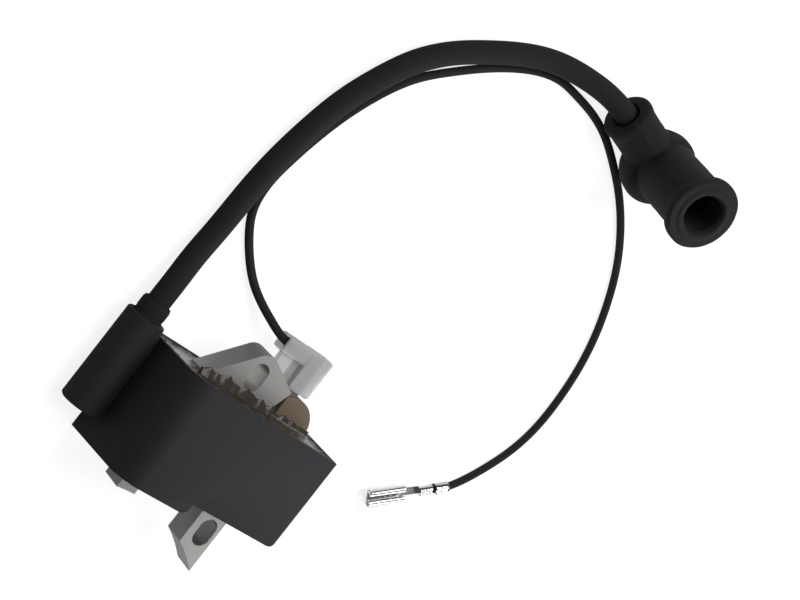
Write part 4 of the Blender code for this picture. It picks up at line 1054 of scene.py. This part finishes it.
class COIL_OT_resin(bpy.types.Operator):
    """Pour the resin: its skin climbs the case's walls and the core, and creeps over the ear"""
    bl_idname = "ignition_coil.resin"
    bl_label = "Resin"

    def execute(self, context):
        _, colours = settings(context)
        resin = finish_named("resin", resin_finish, colours.resin)
        skin = make_piece("poured_resin", *scaled(self.pool()), resin, 50.0)
        settle_piece(skin, "module", "resin", "potting_resin")
        creep = make_piece("resin_creep", *scaled(self.creep()), resin, 60.0)
        settle_piece(creep, "module", "resin")
        return {"FINISHED"}

    def pool(self):
        """P(u, r) = centre + r (edge(u) - centre), with y a level plus rises near the walls and the core.

        The rises are 0.6 exp(-d / 0.8) for the distance d to the wall and 0.7 exp(-d / 0.7) to the core.
        """
        left, right, low, high, shoulder = -19.3, 31.5, 1.7, 28.3, 6.0
        still_level, buried = 16.1, 9.5
        edge = np.vstack([arc((left + 0.7, low + 0.7), 0.7, 180, 270, 4),
                          arc((right - 0.5, low + 0.5), 0.5, 270, 360, 4),
                          arc((right - 0.5, high - 0.5), 0.5, 0, 90, 4),
                          arc((left + shoulder, high - shoulder), shoulder, 90, 180, 14)])
        spans = np.linalg.norm(np.roll(edge, -1, axis=0) - edge, axis=1)
        along = np.concatenate([[0.0], np.cumsum(spans)])
        closed = np.vstack([edge, edge[:1]])
        places = np.linspace(0.0, along[-1], 260, endpoint=False)
        edge = np.stack([np.interp(places, along, closed[:, axis]) for axis in (0, 1)], axis=1)
        centre = np.array([6.0, 15.0])
        share = 1.0 - np.linspace(0.0, 0.98, 70) ** 1.5
        flat = centre + share[:, None, None] * (edge - centre)[None, :, :]
        reach = np.linalg.norm(edge - centre, axis=1)
        to_wall = (1.0 - share)[:, None] * reach[None, :]
        aside = np.maximum(np.maximum(CORE_LEFT - flat[..., 0], flat[..., 0] - CORE_RIGHT), 0.0)
        above = np.maximum(np.maximum(CORE_LOW - flat[..., 1], flat[..., 1] - CORE_HIGH), 0.0)
        to_core = np.hypot(aside, above)
        spot = np.stack([flat[..., 0], np.zeros_like(flat[..., 0]), flat[..., 1]], axis=-1).reshape(-1, 3)
        level = (still_level + 0.6 * np.exp(-to_wall / 0.8) + 0.7 * np.exp(-to_core / 0.7)
                 + waves(spot, 0.10, 3.0, 21).reshape(to_wall.shape))
        skin = np.stack([flat[..., 0], level, flat[..., 1]], axis=-1).reshape(-1, 3)
        count = len(edge)
        back = np.stack([edge[:, 0], np.full(count, buried), edge[:, 1]], axis=1)
        points = np.vstack([back, skin])
        faces = grid_faces(1 + len(share), count).tolist()
        faces.append(list(range(count))[::-1])
        faces.append(list(range(len(points) - count, len(points))))
        return points, orient(points, faces)

    def creep(self):
        """A ragged film over the root of the ear: its height is t (1 - v^4) above the steel.

        Across it v goes from the case's rim to the film's front, whose reach wanders along the ear.
        """
        rows, columns = 220, 24
        start_x, end_x, rim, front, taper = -13.4, 28.6, 15.9, 19.0, 1.2
        along = np.linspace(start_x, end_x, rows)
        spot = np.stack([along, np.zeros(rows), np.zeros(rows)], axis=1)
        reach = front + waves(spot, 0.45, 4.2, 31) + waves(spot, 0.05, 1.1, 32)
        reach -= 1.0 * np.clip((along - 12.4) / 1.6, 0.0, 1.0)
        reach -= 0.9 * np.clip((-10.8 - along) / 2.0, 0.0, 1.0)
        share = np.linspace(0.0, 1.0, columns)
        y = rim + (reach[:, None] - rim) * share[None, :]
        x = np.repeat(along[:, None], columns, axis=1)
        spots = np.stack([x.ravel(), y.ravel(), 0.0 * x.ravel()], axis=1)
        lump = waves(spots, 0.03, 2.2, 33).reshape(x.shape)
        ends = np.clip((along - start_x) / taper, 0.0, 1.0) * np.clip((end_x - along) / taper, 0.0, 1.0)
        thick = (0.42 + lump + 0.55 * (1.0 - share[None, :]) ** 2) * (1.0 - share[None, :] ** 4)
        over = CORE_HIGH - 1.35 * np.clip((along - 13.2) / 1.4, 0.0, 1.0)
        high = over[:, None] + thick * np.sqrt(ends)[:, None] + 0.02
        low = np.repeat(over[:, None] - 0.5, columns, axis=1)
        upper = np.stack([x, y, high], axis=-1)
        lower = np.stack([x, y, low], axis=-1)
        loop = np.concatenate([upper, lower[:, ::-1]], axis=1)
        points = loop.reshape(-1, 3)
        faces = grid_faces(rows, 2 * columns).tolist()
        last = len(points) - 2 * columns
        for start in (0, last):
            for step in range(columns - 1):
                a, b = start + step, start + 2 * columns - 1 - step
                face = [a, a + 1, b - 1, b]
                faces.append(face[::-1] if start == 0 else face)
        return points, orient(points, faces)


# ---------------------------------------------------------------------------------------------------
# terminals
# ---------------------------------------------------------------------------------------------------

FLAG_PLACE = Matrix.Translation((0.0236, 0.0338, 0.0070))
FREE_PLACE = Matrix.Translation((0.0964, 0.0241, 0.0025)) @ Matrix.Rotation(math.radians(214.9), 4, "Z")


def rolled_section(width, height, sheet, curl):
    """Centreline of a push-on receptacle: a flat floor whose sides rise and roll in over the blade."""
    half = 0.5 * (width - sheet)
    base = -0.5 * (height - sheet)
    right = arc((half - curl, base + curl), curl, -90, 150, 14)
    right[:, 1] = base + (right[:, 1] - base) * (height - sheet) / (2.0 * curl)
    left = right[::-1] * (-1.0, 1.0)
    return np.vstack([left, right])


def crimp(start, end, radius, fold, ribs):
    """Crimped barrel along X: the two wings meet in a groove on top, and shallow ribs cross it."""
    def dent(height, turn):
        top = np.angle(np.exp(1j * (turn - np.pi)))
        pressed = 0.10 * np.clip(np.cos(2.0 * np.pi * ribs * (height - start) / (end - start)), 0.0, 1.0)
        return fold * np.exp(-(top / 0.26) ** 2) + pressed * np.exp(-(top / 1.2) ** 2)
    height = np.linspace(start, end, 36)
    wall = np.stack([np.full(36, radius), height], axis=1)
    profile = np.vstack([[(radius - 0.36, start), (radius - 0.1, start)], wall[1:-1],
                         [(radius - 0.1, end), (radius - 0.36, end)]])
    points, faces = lathe(profile, 48, dent)
    return moved((points, faces), Matrix.Rotation(math.radians(90.0), 4, "Y"))


def plate(low, high, rounding=0.1):
    """Flat metal strip with softened edges: a rounded outline in XY carried between two heights."""
    (x0, y0, z0), (x1, y1, z1) = low, high
    corner = min(0.35, 0.3 * (y1 - y0), 0.3 * (x1 - x0))
    outline = np.vstack([arc((x1 - corner, y0 + corner), corner, -90, 0, 5),
                         arc((x1 - corner, y1 - corner), corner, 0, 90, 5),
                         arc((x0 + corner, y1 - corner), corner, 90, 180, 5),
                         arc((x0 + corner, y0 + corner), corner, 180, 270, 5)])
    return stacked_prism(outline, [], np.array([z0, z0 + rounding, z1 - rounding, z1]),
                         np.array([rounding, 0.0, 0.0, rounding]))


class COIL_OT_terminals(bpy.types.Operator):
    """Fold the push-on terminals, crimp them to the stop wire and slip their clear sleeves on"""
    bl_idname = "ignition_coil.terminals"
    bl_label = "Terminals"

    def execute(self, context):
        tin = finish_named("tin_plate", plated_finish, "tin_plate", (0.88, 0.88, 0.86), 0.44, 0.25)
        vinyl = finish_named("clear_vinyl", vinyl_finish, "clear_vinyl", 0.10)
        thin_vinyl = finish_named("thin_vinyl", vinyl_finish, "thin_vinyl", 0.05)
        flag = make_piece("flag_terminal", *moved(scaled(self.flag_shape()), FLAG_PLACE), tin, 40.0)
        settle_piece(flag, "module", "tin_plate", "flag_receptacle")
        free = make_piece("free_terminal", *moved(scaled(self.free_shape()), FREE_PLACE), tin, 40.0)
        settle_piece(free, "module", "tin_plate", "free_receptacle")
        give_finish("stop_tab", tin)

        cover = copy_of_node("flag_cover", "flag_sleeve", vinyl)
        soften_edges(cover, 0.00014, 2)
        settle_piece(cover, "module", "clear_vinyl", "flag_sleeve")
        tube = make_piece("free_cover", *moved(scaled(self.free_cover()), FREE_PLACE), thin_vinyl, 50.0)
        settle_piece(tube, "terminal_cover", "clear_vinyl", "free_sleeve")
        return {"FINISHED"}

    def flag_shape(self):
        """Receptacle along Y behind the blade, a floor plate, and a crimp square to it along -X."""
        section = rolled_section(6.2, 2.2, 0.4, 0.9)
        body = folded_sheet(section, 0.4, np.array([-9.4, -9.1, -8.6, -5.0, -2.0]),
                            lambda x: 1.0 + 0.05 * np.exp(-(x + 9.4) / 0.3))
        body = moved(body, Matrix.Rotation(math.radians(90.0), 4, "Z"))
        floor = plate((-3.3, -2.6, -1.1), (3.1, 1.5, -0.7))
        foot = plate((-5.0, -1.2, -1.5), (-3.0, 1.2, -0.7))
        barrel = crimp(3.4, 7.0, 1.75, 0.55, 3.0)
        grip = crimp(7.4, 11.2, 1.8, 0.7, 2.0)
        turn = Matrix.Rotation(math.radians(180.0), 4, "Z")
        return together(body, floor, foot, moved(barrel, turn), moved(grip, turn))

    def free_shape(self):
        """From the wire on along X: insulation crimp, wire crimp, neck and the rolled receptacle."""
        section = rolled_section(5.2, 2.2, 0.4, 0.85)
        body = folded_sheet(section, 0.4, np.array([15.0, 15.4, 18.0, 22.0, 26.2, 26.6, 27.0]),
                            lambda x: 1.0 + 0.06 * np.exp(-np.abs(x - 27.0) / 0.35))
        neck = plate((9.2, -1.3, -1.1), (15.6, 1.3, -0.7))
        strip = plate((4.0, -0.9, -1.75), (6.4, 0.9, -1.35))
        return together(crimp(0.0, 4.6, 1.8, 0.5, 2.0), crimp(5.4, 10.0, 1.5, 0.5, 4.0), neck, strip, body)

    def free_cover(self):
        """Clear tube round the receptacle: a rounded rectangle with a slightly flared mouth."""
        half_y, half_z, corner = 3.4, 2.45, 2.2
        loop = np.vstack([arc((half_y - corner, half_z - corner), corner, 0, 90, 12),
                          arc((corner - half_y, half_z - corner), corner, 90, 180, 12),
                          arc((corner - half_y, corner - half_z), corner, 180, 270, 12),
                          arc((half_y - corner, corner - half_z), corner, 270, 360, 12)])
        outward = outline_normals(loop)
        rows = [(13.5, 0.12), (13.6, 0.02), (14.4, 0.0), (22.0, 0.03), (29.4, 0.0), (29.9, 0.02),
                (30.0, 0.12), (30.0, 0.30), (29.8, 0.38), (22.0, 0.40), (14.0, 0.40), (13.6, 0.36),
                (13.5, 0.26)]
        flat = np.stack([loop - inset * outward for _, inset in rows])
        along = np.repeat(np.array([x for x, _ in rows])[:, None, None], len(loop), axis=1)
        points = np.concatenate([along, flat], axis=2).reshape(-1, 3)
        count, last = len(loop), (len(rows) - 1) * len(loop)
        faces = grid_faces(len(rows), count).tolist()
        faces += [[last + side, last + (side + 1) % count, (side + 1) % count, side]
                  for side in range(count)]
        return points, orient(points, faces)


# ---------------------------------------------------------------------------------------------------
# parts sealed in the case
# ---------------------------------------------------------------------------------------------------

class COIL_OT_sealed_parts(bpy.types.Operator):
    """Give the windings, the switching board and the contacts inside the case their finishes"""
    bl_idname = "ignition_coil.sealed_parts"
    bl_label = "Sealed Parts"

    def execute(self, context):
        nylon = hidden_finish("bobbin_nylon", (0.60, 0.56, 0.44))
        copper = winding_finish("copper_wire", (0.62, 0.25, 0.10), 0.00045)
        fine = winding_finish("fine_wire", (0.46, 0.18, 0.07), 0.00015)
        board = hidden_finish("circuit_board", (0.03, 0.15, 0.06), 0.45)
        package = hidden_finish("component_black", (0.02, 0.02, 0.02), 0.5)
        dipped = hidden_finish("component_body", (0.50, 0.30, 0.08), 0.3)
        brass = plated_finish("brass", (0.68, 0.50, 0.22), 0.28)
        finishes = {"primary_bobbin": nylon, "secondary_bobbin": nylon, "primary_winding": copper,
                    "control_board": board, "power_transistor": package, "trigger_transistor": package,
                    "timing_capacitor": dipped, "board_resistor_1": dipped, "board_resistor_2": dipped,
                    "earth_strap": bpy.data.materials["tin_plate"],
                    "ht_contact_pin": brass, "ht_link_wire": brass}
        for number in range(1, 6):
            finishes["secondary_winding_%d" % number] = fine
        for node, finish in finishes.items():
            give_finish(node, finish)
        return {"FINISHED"}


# ---------------------------------------------------------------------------------------------------
# stage
# ---------------------------------------------------------------------------------------------------

def area_light(name, place, target, size, power):
    """A soft box of the given size that faces the target."""
    light = bpy.data.lights.new(name, "AREA")
    light.shape = "RECTANGLE"
    light.size, light.size_y = size
    light.energy = power
    made = bpy.data.objects.new(name, light)
    made.location = place
    made.rotation_euler = (Vector(target) - Vector(place)).to_track_quat("-Z", "Y").to_euler()
    bpy.context.scene.collection.objects.link(made)
    return made


class COIL_OT_stage(bpy.types.Operator):
    """Lay the pale floor and set the soft lights and the camera"""
    bl_idname = "ignition_coil.stage"
    bl_label = "Stage"

    def execute(self, context):
        _, colours = settings(context)
        reach, count, gap_below = 3.0, 12, 0.00002
        side = np.linspace(-reach, reach, count)
        x, y = np.meshgrid(side, side, indexing="ij")
        points = np.stack([x, y, np.full_like(x, -gap_below)], axis=-1).reshape(-1, 3)
        floor = make_piece("floor", points, grid_faces(count, count, closed=False)[:, ::-1],
                           floor_finish(colours.floor))

        world = bpy.data.worlds.new("soft_room")
        world.use_nodes = True
        background = world.node_tree.nodes["Background"]
        background.inputs["Color"].default_value = (0.9, 0.95, 1.0, 1.0)
        background.inputs["Strength"].default_value = 0.10
        context.scene.world = world
        centre = (0.04, 0.06, 0.0)
        area_light("top_soft_box", (0.14, 0.50, 0.80), centre, (0.6, 0.6), 3.6)
        area_light("key_soft_box", (0.81, -0.19, 0.38), centre, (0.5, 0.5), 2.8)
        area_light("near_fill", (-0.5, -0.7, 0.5), centre, (0.6, 0.5), 0.3)

        camera = bpy.data.cameras.new("camera")
        camera.lens = 83.25
        camera.sensor_width = 36.0
        camera.clip_start = 0.01
        made = bpy.data.objects.new("camera", camera)
        context.scene.collection.objects.link(made)
        place = Vector((-0.2883, 0.07872, 0.40073))
        aim = Vector((0.0396, 0.0607, 0.0))
        view = (aim - place).to_track_quat("-Z", "Y")
        roll = Matrix.Rotation(math.radians(130.5), 4, "Z")
        made.matrix_world = Matrix.Translation(place) @ view.to_matrix().to_4x4() @ roll
        context.scene.camera = made
        context.scene.view_settings.view_transform = "Standard"
        return {"FINISHED"}


PIECES = (COIL_OT_boot, COIL_OT_case, COIL_OT_core, COIL_OT_resin, COIL_OT_terminals,
          COIL_OT_leads, COIL_OT_sealed_parts)
GROUPS = (CoilSizes, CoilColours)


class COIL_PT_panel(bpy.types.Panel):
    """Sidebar panel with the sizes, the colours and a button for each piece"""
    bl_label = "Ignition Coil"
    bl_idname = "COIL_PT_panel"
    bl_space_type = "VIEW_3D"
    bl_region_type = "UI"
    bl_category = "Ignition Coil"

    def draw(self, context):
        for title, owner in (("Sizes", context.scene.coil_sizes), ("Colours", context.scene.coil_colours)):
            box = self.layout.box()
            box.label(text=title)
            for key in owner.__annotations__:
                box.prop(owner, key)
        for made in (COIL_OT_stage, *PIECES):
            self.layout.operator(made.bl_idname)


def register():
    for made in (*GROUPS, COIL_OT_stage, *PIECES, COIL_PT_panel):
        bpy.utils.register_class(made)
    bpy.types.Scene.coil_sizes = PointerProperty(type=CoilSizes)
    bpy.types.Scene.coil_colours = PointerProperty(type=CoilColours)


def unregister():
    del bpy.types.Scene.coil_colours
    del bpy.types.Scene.coil_sizes
    for made in reversed((*GROUPS, COIL_OT_stage, *PIECES, COIL_PT_panel)):
        bpy.utils.unregister_class(made)


def main():
    register()
    for made in (COIL_OT_stage, *PIECES):
        family, action = made.bl_idname.split(".")
        getattr(getattr(bpy.ops, family), action)()


if __name__ == "__main__":
    main()
